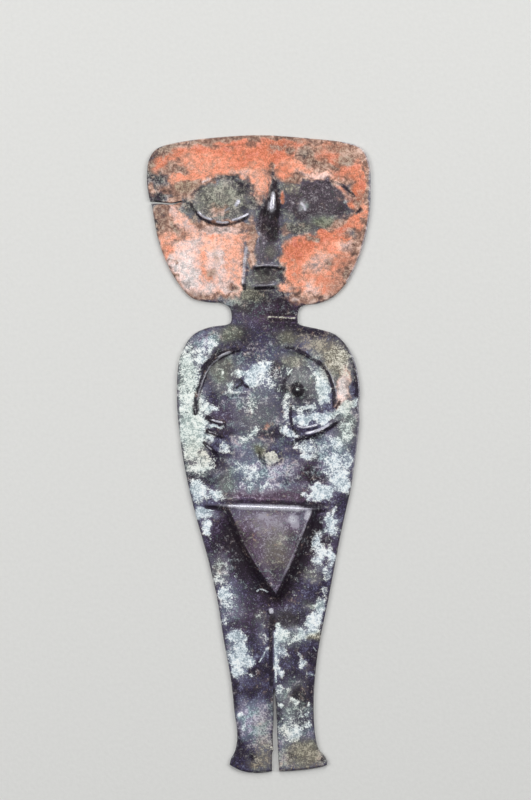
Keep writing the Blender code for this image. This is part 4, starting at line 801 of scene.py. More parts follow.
STROKES: tuple[Stroke, ...] = (
    # left arm: a dark worm of dirt with painted shade, a thin line of worn silver with painted highlight, and
    # the jagged hollow above its shoulder end
    Stroke(((-7.6, 33.6), (-12.5, 32.2), (-17.6, 29.0), (-19.8, 24.6), (-22.0, 18.6), (-22.5, 12.6)),
           1.45, dark=0.9, taper=0.03),
    Stroke(((-9.6, 32.9), (-13.2, 31.8), (-16.0, 30.2)), 0.78, 0.15, bright=0.8, taper=0.3),
    Stroke(((-13.0, 31.8), (-17.4, 28.4), (-20.4, 22.4), (-22.2, 16.4)), 0.56, 0.1, bright=0.6),
    Stroke(((-22.5, 16.0), (-22.4, 13.4)), 0.56, 0.1, bright=0.45),
    Stroke(((-13.4, 32.9), (-15.0, 32.6), (-17.0, 30.9), (-18.8, 29.0)), 0.66, -0.35, dark=0.9),
    Stroke(((-18.2, 29.6), (-19.8, 28.0), (-20.8, 26.0)), 0.7, -0.2, dark=0.8),
    # right arm, with dark lines of dirt and painted shade and a line of worn silver with painted highlight,
    # and the nick beside its elbow
    Stroke(((5.4, 33.6), (9.0, 33.1), (12.2, 31.4), (14.6, 29.8), (17.0, 28.4), (19.0, 25.8), (20.1, 23.2),
            (20.9, 20.4), (21.2, 17.6), (20.9, 14.0)), 0.9, -0.2, dark=0.85, taper=0.05),
    Stroke(((8.6, 33.0), (12.2, 31.3), (14.8, 29.6), (17.2, 28.0), (18.6, 25.8)), 0.95, dark=0.7),
    Stroke(((18.0, 28.6), (19.9, 25.4), (21.1, 22.4), (21.9, 19.4), (22.0, 16.6)), 0.4, 0.1, bright=0.5),
    # the pits in the left breast
    Stroke(((-8.9, 24.4), (-7.7, 23.5), (-7.4, 22.8), (-8.5, 21.9), (-10.1, 20.8)),
           0.62, -0.2, dark=1.0, taper=0.2),
    Stroke(((-7.2, 22.6), (-6.4, 21.6), (-5.3, 21.2)), 0.62, -0.2, dark=1.0, taper=0.2),
    Stroke(((23.0, 16.5), (22.5, 15.0), (21.5, 13.9)), 0.8, -0.2, dark=0.9),
    # left hand's fingers
    Stroke(((-19.6, 12.7), (-16.8, 11.2), (-12.6, 10.0)), 1.26, dark=0.95),
    Stroke(((-17.6, 11.6), (-15.6, 10.9), (-13.8, 10.4)), 0.56, bright=0.83),
    Stroke(((-19.8, 8.4), (-17.0, 7.4), (-13.6, 5.8)), 1.09, dark=0.9),
    Stroke(((-18.6, 7.9), (-16.0, 7.0)), 0.48, bright=0.45),
    Stroke(((-20.5, 4.8), (-18.6, 3.0), (-16.0, 0.6)), 0.92, dark=0.9),
    Stroke(((-19.4, 3.5), (-17.6, 2.0)), 0.48, bright=0.9),
    # right forearm: a dark line of dirt with painted shade under it, and two lines of worn silver with
    # painted highlight on it
    Stroke(((7.8, 4.8), (12.4, 5.2), (16.4, 6.4), (20.0, 8.2), (22.4, 10.0)), 1.1, -0.15, dark=0.8),
    Stroke(((8.8, 7.6), (12.4, 7.2), (16.4, 7.9)), 0.8, dark=0.3),
    Stroke(((11.4, 6.4), (14.6, 6.9), (18.0, 8.2), (19.8, 9.6)), 0.72, 0.1, bright=1.0),
    Stroke(((8.8, 8.8), (12.2, 8.3), (16.2, 9.2)), 0.72, 0.05, bright=0.75, crust=0.6),
    Stroke(((7.6, 16.6), (7.4, 12.0), (7.8, 8.6), (9.2, 5.8)), 0.8, -0.1, dark=0.6),
    # right nipple's ring, painted shade round the boss, and tip
    Stroke(((11.2, 20.4), (9.8, 21.9), (8.2, 20.8), (8.8, 19.0), (10.6, 18.8), (11.2, 20.4)),
           1.3, -0.2, dark=1.0, taper=0.01),
    Stroke(((9.4, 20.1), (10.0, 20.4)), 0.75, 0.2, crust=1.0),
    # right breast's rim, left breast's rim
    Stroke(((5.4, 19.6), (5.8, 22.8), (7.6, 25.4)), 0.92, -0.12, dark=0.5),
    Stroke(((6.6, 24.6), (7.8, 26.2), (8.6, 26.8)), 0.56, 0.08, crust=0.8),
    Stroke(((8.0, 15.6), (9.4, 13.2), (12.4, 12.0), (15.6, 12.6)), 0.96, 0.12, crust=0.55),
    Stroke(((9.2, 14.8), (11.2, 13.6), (13.8, 13.4)), 0.69, -0.1, dark=0.3),
    Stroke(((-14.2, 19.0), (-12.0, 20.0), (-9.4, 19.8), (-5.6, 19.9)), 0.8, 0.1, crust=0.6),
    Stroke(((-12.8, 18.2), (-9.6, 18.8), (-6.0, 19.0)), 0.69, -0.12, dark=0.3),
    # navel's rings
    Stroke(((-2.9, 1.4), (-2.5, -1.4), (-0.8, -3.4)), 0.8, -0.3, dark=0.6),
    Stroke(((-3.4, 1.0), (-3.1, -1.8), (-1.4, -3.9)), 0.64, 0.1, crust=0.5),
    Stroke(((1.2, 1.5), (3.2, 0.2), (3.3, -1.9), (1.4, -3.4), (-0.9, -2.6), (-1.4, -0.4), (-0.4, 1.1),
            (1.2, 1.5)), 0.55, -0.1, dark=0.45, taper=0.01),
    Stroke(((1.4, 2.4), (3.8, 0.8), (4.2, -1.6), (2.6, -4.0)), 0.69, -0.15, dark=0.3),
    # eyes: the left lid's light rim lines are worn silver with painted highlight, the dark lines under it and
    # along the eye's upper edge are dirt with painted shade, and the short light strokes in both eyes are
    # painted glints
    Stroke(((-22.4, 80.6), (-21.6, 78.0), (-18.4, 74.4), (-13.6, 72.6), (-8.0, 73.0), (-3.4, 75.4)),
           0.8, -0.25, dark=0.8),
    Stroke(((-20.2, 77.0), (-18.2, 75.2), (-15.4, 74.2)), 0.64, 0.1, bright=1.0),
    Stroke(((-14.6, 73.7), (-12.4, 73.2), (-10.2, 73.4)), 0.64, 0.1, bright=1.0),
    Stroke(((-9.6, 73.9), (-6.8, 74.6), (-3.8, 76.0)), 0.64, 0.1, bright=0.98),
    Stroke(((-22.4, 80.6), (-21.4, 82.8), (-18.2, 85.0), (-14.2, 87.2), (-11.0, 87.6), (-7.4, 86.2),
            (-4.0, 84.0)), 1.0, -0.1, dark=0.4),
    Stroke(((-11.8, 76.8), (-9.8, 77.8)), 0.72, bright=0.6),
    Stroke(((-8.2, 78.2), (-6.8, 80.2)), 1.12, bright=0.9),
    Stroke(((21.4, 85.8), (25.4, 84.0), (28.2, 81.8), (29.8, 79.6)), 0.82, -0.2, dark=0.8),
    Stroke(((22.6, 87.0), (26.0, 85.6)), 0.8, 0.08, crust=0.4),
    Stroke(((11.0, 85.2), (15.0, 86.0), (20.0, 85.2), (23.4, 84.0)), 0.7, -0.1, dark=0.2),
    Stroke(((28.8, 80.4), (29.4, 78.0), (28.6, 75.6)), 0.57, 0.1, dark=0.2),
    Stroke(((29.4, 74.6), (30.6, 75.8), (31.8, 76.6)), 0.75, -0.2, dark=0.8),
    Stroke(((12.2, 79.0), (13.4, 77.6), (13.8, 76.0)), 0.96, bright=0.68),
    # nose, mouth and the fold beside the mouth: the nose's two wide light strokes are its painted highlight,
    # the lips' and the fold's light lines are worn silver with painted highlight, and the dark lines under
    # them are dirt with painted shade
    Stroke(((4.0, 91.2), (3.9, 88.4), (4.0, 85.0)), 0.7, -0.12, dark=0.6),
    Stroke(((4.1, 83.6), (3.8, 81.0), (3.3, 78.0), (2.7, 74.6)), 1.5, bright=0.95, taper=0.4),
    Stroke(((3.7, 80.6), (3.2, 78.0), (2.6, 75.2)), 2.6, bright=0.75, taper=0.4),
    Stroke(((-3.2, 59.3), (1.5, 59.6), (5.4, 59.2)), 0.6, 0.08, bright=0.5),
    Stroke(((-2.8, 58.5), (1.5, 58.6), (6.6, 57.9)), 0.69, -0.25, dark=0.7),
    Stroke(((-3.3, 53.5), (0.6, 53.3), (4.2, 53.6)), 0.6, 0.06, bright=0.42, crust=0.4),
    Stroke(((-3.2, 52.2), (0.6, 52.3), (3.8, 52.3)), 0.86, -0.3, dark=1.0),
    Stroke(((-4.7, 66.4), (-5.8, 61.1), (-6.2, 56.1), (-6.7, 52.8)), 1.12, 0.25, bright=0.55, crust=0.3),
    Stroke(((-6.6, 64.0), (-7.0, 58.0), (-7.0, 53.4)), 0.69, -0.1, dark=0.35),
    Stroke(((-6.2, 54.0), (-6.0, 51.8)), 1.03, dark=0.8),
    Stroke(((-5.0, 59.6), (-5.4, 54.0)), 0.57, dark=0.4),
    Stroke(((5.9, 51.2), (6.2, 49.0)), 0.4, -0.1, dark=0.9),
    # painted shade along the crack at the left edge, marks on the left cheek
    Stroke(((-35.4, 80.4), (-31.6, 80.1), (-28.0, 79.7), (-24.6, 80.6)), 0.46, dark=1.0),
    Stroke(((-21.0, 54.8), (-18.6, 55.6), (-16.4, 55.6)), 0.29, dark=0.4),
    Stroke(((-28.8, 75.4), (-27.2, 72.8), (-25.6, 70.6), (-26.4, 69.2), (-27.8, 67.6)), 0.7, dark=0.4),
    Stroke(((-16.4, 65.0), (-15.6, 62.4), (-15.4, 61.0)), 0.57, dark=0.35),
    # neck, belly and legs: cracks, scratches and hairlines
    Stroke(((0.6, 43.3), (3.4, 43.2), (6.4, 42.9), (10.4, 42.6)), 0.6, 0.1, crust=0.8),
    Stroke(((1.0, 42.4), (6.4, 42.0), (10.4, 41.7)), 0.57, -0.12, dark=0.6),
    Stroke(((1.0, 44.0), (6.4, 43.8), (10.0, 43.6)), 0.57, dark=0.5),
    Stroke(((-26.8, 31.2), (-24.0, 33.0), (-22.0, 34.8)), 0.4, -0.1, dark=0.4),
    Stroke(((-21.4, 36.6), (-18.8, 37.6), (-15.6, 38.6)), 0.69, -0.08, dark=0.35),
    Stroke(((-5.1, -43.1), (-3.8, -42.1), (-0.9, -43.3)), 0.48, 0.06, crust=0.9),
    Stroke(((-2.6, -61.4), (-3.4, -63.2), (-4.8, -65.4)), 0.56, 0.06, crust=0.9),
    Stroke(((12.2, -60.4), (13.6, -62.6)), 0.4, 0.03, crust=0.7),
    # the leg slit: a painted highlight on the small bump at its top, painted shade along the slit beside it
    # and below, and pale crust on its right lip
    Stroke(((-0.5, -48.2), (-0.4, -50.0)), 1.28, 0.2, bright=0.9),
    Stroke(((-1.5, -48.8), (-1.0, -50.4)), 0.69, dark=0.9),
    Stroke(((-0.2, -50.6), (-0.2, -55.2)), 1.38, dark=1.0, taper=0.05),
    Stroke(((-0.8, -54.0), (-1.0, -64.0), (-1.0, -73.0)), 1.0, dark=1.0, taper=0.03),
    Stroke(((0.5, -55.6), (0.4, -64.0), (0.4, -72.0)), 0.64, 0.05, crust=1.1, taper=0.03),
    # the raised triangle's crest, its tips and its corner: the light bands on the crest, the corner and the
    # upper face are worn silver with painted highlight, the right flank's light line is a painted highlight,
    # and the left flank, the band above the crest and the line under its left tip are painted shade
    Stroke(((-20.6, -14.9), (-12.7, -15.6), (0.0, -16.4), (12.9, -17.4), (18.8, -16.9)),
           1.05, bright=1.0, taper=0.35),
    Stroke(((-13.0, -15.8), (0.0, -16.5), (12.4, -17.3)), 1.7, bright=0.95, taper=0.15),
    Stroke(((12.6, -18.4), (7.4, -30.4), (2.0, -41.4)), 0.9, bright=0.42, taper=0.2),
    Stroke(((-12.6, -17.4), (-6.4, -29.6), (0.6, -42.2)), 0.8, dark=0.25),
    Stroke(((-20.6, -15.9), (-16.0, -16.4), (-13.2, -17.4)), 0.95, -0.2, dark=1.0),
    Stroke(((-12.0, -14.4), (0.0, -14.8), (12.4, -15.9)), 0.8, dark=0.4),
    Stroke(((12.4, -17.5), (12.0, -19.0), (11.0, -20.8)), 1.5, bright=1.0),
    Stroke(((14.0, -18.4), (18.6, -17.9)), 0.8, dark=0.5),
    Stroke(((5.6, -19.2), (7.0, -20.4), (7.8, -22.0)), 2.0, bright=0.95, taper=0.3),
    Stroke(((10.6, -18.4), (11.6, -19.0)), 1.3, bright=0.5, taper=0.3),
    Stroke(((7.6, -18.8), (9.8, -18.7)), 0.46, dark=0.5),
    Stroke(((-8.6, -21.4), (-7.4, -20.8), (-5.6, -20.2)), 0.34, -0.05, dark=0.35),
)


def summed(rows: Rows, x: np.ndarray, y: np.ndarray) -> np.ndarray:
    """Add up several stains, each with its own sign and strength."""
    return sum(Stain(*row).cover(x, y) for row in rows)


def strongest(rows: Rows, x: np.ndarray, y: np.ndarray) -> np.ndarray:
    """The strongest of several stains at each position."""
    return np.max([Stain(*row).cover(x, y) for row in rows], axis=0)


Shares = tuple[tuple[Layer, float], ...]


@dataclass(frozen=True)
class Patina:
    """Where tarnish, copper salts, crust, paint and worn metal lie on the sheet, and where shade and
    highlights are painted on it.
    """

    relief: Relief
    wander: float = 0.9               # how far a stain's edge strays, in millimetres
    wander_size: float = 3.2          # how far apart its bends stand
    wander_seeds: Point = (11.0, 47.0)
    chin: float = 47.0                # how far up the figure the head's own dirt begins
    chin_fade: float = 3.0
    even_tarnish: float = 0.66
    line_tarnish: float = 0.7         # what a dark line, dirt with painted shade, adds to the tarnish
    rim_tarnish: float = 0.3
    even_tone: float = 0.6            # the paint's tone between the places that are listed
    even_tone_weight: float = 0.15
    rim_wear_and_highlight: Point = (0.25, 0.5)    # how light the rim is painted, to the left and right of a line: worn silver, with a painted highlight on the right edge
    rim_highlight_line: float = 26.0
    hollow: Point = (1.6, 6.4)        # the painted shade in the hollow round the triangle: its middle and its reach
    hollow_shade: Point = (0.12, 0.7)  # how dark the painted shade is above and below the crest
    crest_line: float = -15.5
    face_edge: float = 0.3            # how far past its edge the triangle's face counts
    face_film: float = 0.25
    bare_loss: float = 0.9            # the share of wash and paint that bare places have lost
    head_crust_loss: float = 0.2
    line_loss: float = 0.9            # the share of every coat that a dark line keeps off
    # the share of every coat that the painted shade round the triangle keeps off
    hollow_loss: float = 1.4
    # How much of these there is at least on the head and on its bare places.
    on_head: Shares = ((Layer.FILM, 0.55), (Layer.WARM, 0.5), (Layer.GREEN, 0.25))
    on_bare: Shares = ((Layer.PLUM, 0.7), (Layer.GREEN, 0.5))
    dark_loss: Shares = (             # how readily each coat gives way to dark places
        (Layer.CRUST, 0.3), (Layer.WASH, 1.4), (Layer.PAINT, 1.6), (Layer.FILM, 0.9), (Layer.GRIME, 0.5),
    )
    # How each coat's strength is stretched, and what it then loses.
    contrast: tuple[tuple[Layer, float, float], ...] = (
        (Layer.CRUST, 1.35, 0.14), (Layer.FILM, 1.1, 0.1), (Layer.WASH, 1.7, 0.5), (Layer.PAINT, 1.7, 0.5),
    )
    # On the back: each layer's mean, swing, size of swell and seed.
    behind: tuple[tuple[Layer, float, float, float, float], ...] = (
        (Layer.TARNISH_SHADE_AND_LIGHT, 0.6, 0.3, 24.0, 3.0), (Layer.FILM, 0.4, 0.6, 15.0, 13.0),
        (Layer.CRUST, 0.25, 0.5, 17.0, 5.0), (Layer.WARM, 0.2, 0.5, 30.0, 9.0),
        (Layer.GREEN, 0.3, 0.8, 20.0, 7.0),
    )
    no_paint: float = -0.5            # a strength that no grain of the finish brings up to paint

    def paint_tone(self, x: np.ndarray, y: np.ndarray) -> np.ndarray:
        """Blend the tones of the paint, each by how near its place is.

        Args:
            x: plan positions across the figure.
            y: plan positions along the figure.

        Returns:
            The tone at each position, from 0 chalky cream to 1 vermilion.
        """
        weights = [Stain(*row[:5]).cover(x, y) for row in PAINT_TONES]
        tones = sum(weight * row[5] for weight, row in zip(weights, PAINT_TONES))
        return (tones + self.even_tone * self.even_tone_weight) / (sum(weights) + self.even_tone_weight)

    def on_front(self, x: np.ndarray, y: np.ndarray, on_rim: np.ndarray) -> dict[Layer, np.ndarray]:
        """Work out the strength of each layer on the front.

        Args:
            x: plan positions across the figure.
            y: plan positions along the figure.
            on_rim: whether the position is on the worn outer edge.

        Returns:
            A value for each position by layer, mostly between 0 and 1.
        """
        strayed = [axis + self.wander * cloud(x, y, self.wander_size, seed)
                   for axis, seed in zip((x, y), self.wander_seeds)]
        layers = {layer: strongest(rows, *strayed) for layer, rows in STAINS.items()}
        layers[Layer.WASH] = np.maximum(layers[Layer.WASH], layers[Layer.PAINT])
        layers[Layer.PAINT] = np.clip(layers[Layer.PAINT] - strongest(PAINT_LOSSES, *strayed), 0.0, 1.0)
        layers[Layer.TONE] = self.paint_tone(*strayed)
        dark = np.max([s.dark * s.stain(x, y) for s in STROKES if s.dark], axis=0)
        crust = np.max([s.crust * s.strength(x, y) for s in STROKES if s.crust], axis=0)
        bright = np.max([s.bright * s.strength(x, y) for s in STROKES if s.bright], axis=0)
        # The rim: worn silver, with a stronger painted highlight on its right-hand edge.
        left_rim_light, right_rim_light = self.rim_wear_and_highlight
        bright = np.maximum(bright, on_rim * np.where(x > self.rim_highlight_line, right_rim_light, left_rim_light))

        beyond = self.relief.from_triangle(x, y)
        # Painted shade in the hollow round the triangle, much darker below the crest than above it.
        middle, reach = self.hollow
        shadow = (bell((beyond - middle) / reach) * (beyond > self.face_edge)
                  * np.where(y > self.crest_line, *self.hollow_shade))
        places = summed(TARNISH_SHADE_AND_LIGHT_PLACES, *strayed)
        bare = strongest(BARE_PLACES, *strayed)
        on_head = np.clip((y - self.chin) / self.chin_fade, 0.0, 1.0)
        layers[Layer.FILM] = np.maximum(layers[Layer.FILM], self.face_film * (beyond < self.face_edge))
        for layer, share in self.on_head:
            layers[layer] = np.maximum(layers[layer], share * on_head * (1.0 - bare))
        for layer, share in self.on_bare:
            layers[layer] = np.maximum(layers[layer], share * bare)
        for layer in (Layer.WASH, Layer.PAINT):
            layers[layer] *= 1.0 - self.bare_loss * bare

        # The tarnish takes in the painted shade of the hollow and of the dark lines, and the listed places,
        # some of them painted shade and some painted highlights.
        layers[Layer.TARNISH_SHADE_AND_LIGHT] = (self.even_tarnish + places + shadow + self.line_tarnish * dark
                                 + self.rim_tarnish * on_rim)
        layers[Layer.WEAR_AND_HIGHLIGHT] = bright
        cleared = np.clip(1.0 - self.line_loss * dark - bright - self.hollow_loss * shadow, 0.0, 1.0)
        for layer, share in self.dark_loss:
            kept = np.clip(1.0 - share * np.clip(places, 0.0, 1.0), 0.0, 1.0)
            layers[layer] = layers[layer] * cleared * kept
        layers[Layer.CRUST] = np.maximum(layers[Layer.CRUST], crust)
        for layer, gain, loss in self.contrast:
            layers[layer] = gain * layers[layer] - loss
        layers[Layer.CRUST] -= self.head_crust_loss * on_head
        return layers

    def on_back(self, x: np.ndarray, y: np.ndarray) -> dict[Layer, np.ndarray]:
        """Work out the strength of each layer on the plainer back: tarnish, thin film and some crust.

        Args:
            x: plan positions across the figure.
            y: plan positions along the figure.

        Returns:
            A value for each position by layer.
        """
        layers = {layer: np.zeros(np.shape(x)) for layer in Layer}
        layers[Layer.WASH] = layers[Layer.PAINT] = np.full(np.shape(x), self.no_paint)
        for layer, mean, swing, size, seed in self.behind:
            layers[layer] = mean + swing * cloud(x, y, size, seed)
        for layer in (Layer.WARM, Layer.GREEN):
            layers[layer] = np.clip(layers[layer], 0.0, 1.0)
        return layers


# ------------------------------------------------------------------------------- figure
class Side(Enum):
    """The parts of the sheet's surface, by the material index that marks them while it is cut."""

    FRONT = 0
    BACK = 1
    RIM = 2


@dataclass(frozen=True)
class Pit:
    """A round pit that corrosion has eaten into the front, in plan millimetres."""

    x: float
    y: float
    half: float
    depth: float


@dataclass(frozen=True)
class Cut:
    """How finely one side of the sheet is cut."""

    side: Side
    longest: float           # the longest edge that is still cut, in millimetres
    rounds: int


@dataclass(frozen=True)
class HammeredFigure:
    """The whole figure, one sheet of silver, with its relief, patina and paint."""

    name: str = "hammered_silver_figure"
    relief: Relief = Relief()
    weld: float = 1e-7          # metres between corners of the solid that count as one
    wall_slope: float = 0.2     # a face whose normal rises less than this stands upright
    wall_height: float = 0.55 * SHEET
    foot_height: float = 0.1    # points lower than this are on the ground
    front_cut: Cut = Cut(Side.FRONT, 0.72, 6)
    back_cut: Cut = Cut(Side.BACK, 1.4, 4)
    rim_cut: Cut = Cut(Side.RIM, 0.7, 3)
    line_edge: float = 0.42     # longest face edge along the chased lines
    line_margin: float = 0.3    # how far beside a line the finer faces go on
    evenings: int = 2           # smoothing passes that even out the faces in plan
    softening: int = 3          # smoothing passes that wear the main forms' creases
    hammer_marks: Rows = ((0.05, 6.5, 21.0), (0.02, 1.6, 23.0))    # depth, size and seed
    crust_rise: float = 0.12
    crust_grain: Point = (1.5, 31.0)     # size and seed of the crust's lumps
    crust_ragged: float = 0.35
    crust_start: float = 0.35
    crust_full: float = 0.6
    pits: tuple[Pit, ...] = (
        Pit(-8.2, 22.4, 1.6, 0.55), Pit(-5.6, 21.3, 1.0, 0.4), Pit(-7.4, 24.2, 0.8, 0.35),
        Pit(-9.8, 20.8, 1.1, 0.35), Pit(-9.0, 46.0, 0.6, 0.4), Pit(5.0, -95.0, 1.3, 0.4),
        Pit(-6.5, -94.6, 1.1, 0.35), Pit(0.4, 78.0, 0.7, 0.2),
    )
    thin_edge: Point = (30.0, 2.6)       # the right shoulder's edge is beaten thinner: place and reach
    thin_from: float = 15.4              # from the nick at the elbow
    thin_to: Point = (36.0, 6.0)         # up to here, over this length
    thin_depth: float = 0.35
    back_marks: tuple[float, ...] = (0.04, 5.0, 41.0)               # depth, size and seed

    def merged_copy(self) -> bmesh.types.BMesh:
        """Copy the solid's mesh and join its loose triangles.

        Returns:
            The copy, in plan millimetres.
        """
        mesh = bmesh.new()
        mesh.from_mesh(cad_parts[NODE].data)
        bmesh.ops.remove_doubles(mesh, verts=mesh.verts, dist=self.weld)
        bmesh.ops.scale(mesh, vec=(1 / MM,) * 3, verts=mesh.verts)
        bmesh.ops.translate(mesh, vec=(*PLAN_MIDDLE, 0.0), verts=mesh.verts)
        return mesh

    def mark_sides(self, mesh: bmesh.types.BMesh) -> None:
        """Mark each face as front, back or rim by its material index.

        Args:
            mesh: the figure's merged mesh.
        """
        mesh.normal_update()
        upright = {f for f in mesh.faces if abs(f.normal.z) < self.wall_slope
                   and all(v.co.z < self.wall_height for v in f.verts)}
        wall_top = {v for f in upright for v in f.verts if v.co.z > self.foot_height}
        for face in mesh.faces:
            side = Side.FRONT if face.normal.z > 0 else Side.BACK
            if face in upright or any(v in wall_top for v in face.verts):
                side = Side.RIM
            face.material_index = side.value

    def inner_points(self, mesh: bmesh.types.BMesh, side: Side) -> list[bmesh.types.BMVert]:
        """The vertices whose faces all lie on one side."""
        return [v for v in mesh.verts if all(f.material_index == side.value for f in v.link_faces)]

    def plan(self, points: Sequence[bmesh.types.BMVert]) -> tuple[np.ndarray, np.ndarray]:
        """Where points lie across and along the figure."""
        return np.array([v.co.x for v in points]), np.array([v.co.y for v in points])

    def cut_fine(self, mesh: bmesh.types.BMesh, cut: Cut) -> None:
        """Halve one side's long edges, round after round.

        Args:
            mesh: the figure's mesh, with its sides marked.
            cut: the side, the longest edge that may stay and the rounds.
        """
        for _ in range(cut.rounds):
            edges = [e for e in mesh.edges if e.calc_length() > cut.longest
                     and any(f.material_index == cut.side.value for f in e.link_faces)]
            bmesh.ops.subdivide_edges(mesh, edges=edges, cuts=1)
            bmesh.ops.triangulate(mesh, faces=[f for f in mesh.faces if len(f.verts) > 3])

    def cut_lines(self, mesh: bmesh.types.BMesh) -> None:
        """Cut the front once more along the chased lines, so that their sides stay crisp.

        Args:
            mesh: the figure's mesh, its front already cut fine.
        """
        edges = [e for e in mesh.edges if e.calc_length() > self.line_edge
                 and all(f.material_index == Side.FRONT.value for f in e.link_faces)]
        x, y = (np.array([(e.verts[0].co[axis] + e.verts[1].co[axis]) / 2 for e in edges]) for axis in (0, 1))
        near = np.max([ridge(x, y, s.path, s.half + self.line_margin) for s in STROKES], axis=0) > 0.0
        bmesh.ops.subdivide_edges(mesh, edges=[e for e, is_near in zip(edges, near) if is_near], cuts=1)
        bmesh.ops.triangulate(mesh, faces=[f for f in mesh.faces if len(f.verts) > 3])

    def even_out(self, mesh: bmesh.types.BMesh, side: Side) -> None:
        """Turn one side's edges for even triangles and smooth them in plan.

        Args:
            mesh: the figure's mesh.
            side: the side, flat as yet.
        """
        faces = [f for f in mesh.faces if f.material_index == side.value]
        edges = [e for e in mesh.edges if all(f.material_index == side.value for f in e.link_faces)]
        bmesh.ops.beautify_fill(mesh, faces=faces, edges=edges, method="ANGLE")
        for _ in range(self.evenings):
            bmesh.ops.smooth_vert(mesh, verts=self.inner_points(mesh, side), factor=0.5,
                                  use_axis_x=True, use_axis_y=True)

    def refine(self, mesh: bmesh.types.BMesh) -> None:
        """Lay both sides flat, cut them fine, and round the rim.

        Args:
            mesh: the figure's mesh, with its sides marked.
        """
        for cut, level in ((self.front_cut, SHEET), (self.back_cut, 0.0)):
            for vertex in self.inner_points(mesh, cut.side):
                vertex.co.z = level
            self.cut_fine(mesh, cut)
            if cut.side is Side.FRONT:
                self.cut_lines(mesh)
            self.even_out(mesh, cut.side)
        self.cut_fine(mesh, self.rim_cut)
        bmesh.ops.smooth_vert(mesh, verts=self.inner_points(mesh, Side.RIM), factor=0.5,
                              use_axis_x=True, use_axis_y=True, use_axis_z=True)

    def aged(self, mesh: bmesh.types.BMesh) -> dict[Layer, np.ndarray]:
        """Work out what lies on the metal at each vertex.

        Args:
            mesh: the figure's mesh, cut fine.

        Returns:
            A value for each vertex by layer.
        """
        patina = Patina(self.relief)
        x, y = self.plan(mesh.verts)
        touched = [{f.material_index for f in v.link_faces} for v in mesh.verts]
        on_rim, on_back = (np.array([side.value in indices for indices in touched])
                           for side in (Side.RIM, Side.BACK))
        front = patina.on_front(x, y, on_rim)
        behind = patina.on_back(x, y)
        return {layer: np.where(on_back, behind[layer], front[layer]) for layer in Layer}

    def fine_relief(self, x: np.ndarray, y: np.ndarray, crust: np.ndarray) -> np.ndarray:
        """Work out the chasing, hammer marks, crust and pits.

        Args:
            x: plan positions across the figure.
            y: plan positions along the figure.
            crust: how much crust lies at each position.

        Returns:
            What they add to the main forms at each position, in millimetres.
        """
        height = sum(depth * cloud(x, y, size, seed, 2) for depth, size, seed in self.hammer_marks)
        for stroke in STROKES:
            if stroke.rise:
                height += stroke.rise * stroke.strength(x, y)
        grown = crust + self.crust_ragged * cloud(x, y, *self.crust_grain, 2) - self.crust_start
        height += self.crust_rise * np.clip(grown, 0.0, self.crust_full) / self.crust_full
        for pit in self.pits:
            height -= pit.depth * bell(np.hypot(x - pit.x, y - pit.y) / pit.half)
        place, reach = self.thin_edge
        end, fade = self.thin_to
        thinned = (bell((x - place) / reach) * np.clip(y - self.thin_from, 0.0, 1.0)
                   * np.clip((end - y) / fade, 0.0, 1.0))
        return height - self.thin_depth * thinned

    def raise_front(self, mesh: bmesh.types.BMesh, crust: np.ndarray) -> None:
        """Raise the front to the main forms, wear them soft, and work the finer relief into them.

        Args:
            mesh: the figure's mesh, its front flat.
            crust: how much crust lies at each vertex.
        """
        front = self.inner_points(mesh, Side.FRONT)
        x, y = self.plan(front)
        for vertex, height in zip(front, self.relief.front(x, y)):
            vertex.co.z = height
        for _ in range(self.softening):
            bmesh.ops.smooth_vert(mesh, verts=front, factor=0.5, use_axis_z=True)
        crust_there = crust[[v.index for v in front]]
        for vertex, rise in zip(front, self.fine_relief(x, y, crust_there)):
            vertex.co.z += rise

    def raise_back(self, mesh: bmesh.types.BMesh) -> None:
        """Hollow the back under the raised forms and leave the hammer's marks on it.

        Args:
            mesh: the figure's mesh, its back flat.
        """
        back = self.inner_points(mesh, Side.BACK)
        x, y = self.plan(back)
        depth, size, seed = self.back_marks
        heights = self.relief.back(x, y) + depth * np.abs(cloud(x, y, size, seed, 2))
        for vertex, height in zip(back, heights):
            vertex.co.z = height

    def finished(self, mesh: bmesh.types.BMesh, layers: dict[Layer, np.ndarray]) -> bpy.types.Object:
        """Turn the worked mesh into an object, with its layers stored at each point.

        Args:
            mesh: the figure's mesh, in plan millimetres.
            layers: a value for each vertex by layer.

        Returns:
            The object, in place in the part's frame.
        """
        for face in mesh.faces:
            face.material_index = 0
            face.smooth = True
        bmesh.ops.translate(mesh, vec=(-PLAN_MIDDLE[0], -PLAN_MIDDLE[1], 0.0), verts=mesh.verts)
        bmesh.ops.scale(mesh, vec=(MM,) * 3, verts=mesh.verts)
        data = bpy.data.meshes.new(self.name)
        mesh.to_mesh(data)
        mesh.free()
        for layer, values in layers.items():
            stored = data.attributes.new(layer.value, "FLOAT", "POINT")
            stored.data.foreach_set("value", values.astype(np.float32))
        piece = bpy.data.objects.new(self.name, data)
        bpy.context.scene.collection.objects.link(piece)
        return piece

    def build(self) -> bpy.types.Object:
        """Build the finished sheet as one mesh object.

        Returns:
            The object, without its material.
        """
        mesh = self.merged_copy()
        self.mark_sides(mesh)
        self.refine(mesh)
        mesh.verts.index_update()
        layers = self.aged(mesh)
        self.raise_front(mesh, layers[Layer.CRUST])
        self.raise_back(mesh)
        return self.finished(mesh, layers)


# ----------------------------------------------------------------------------- finishes
class Grain(Enum):
    """The patterns in the old surface: millimetres across, octaves, and how far they are stirred."""

    FINE = (0.42, 1.0, 0.0)      # crystals, drawn coarser than the real ones so that they show
    BLOTCH = (1.4, 2.0, 0.0)
    BROAD = (5.0, 3.0, 0.0)
    TINT = (3.4, 2.0, 0.0)       # where the film turns from blue to lilac
    SWIRL = (3.0, 2.0, 0.9)      # the brush's and the fingers' way over the paint


# A grain or layer that is followed, and how much fine, blotched, broad and swirling grain is added to it.
Pattern = tuple[Grain | Layer, tuple[float, ...]]
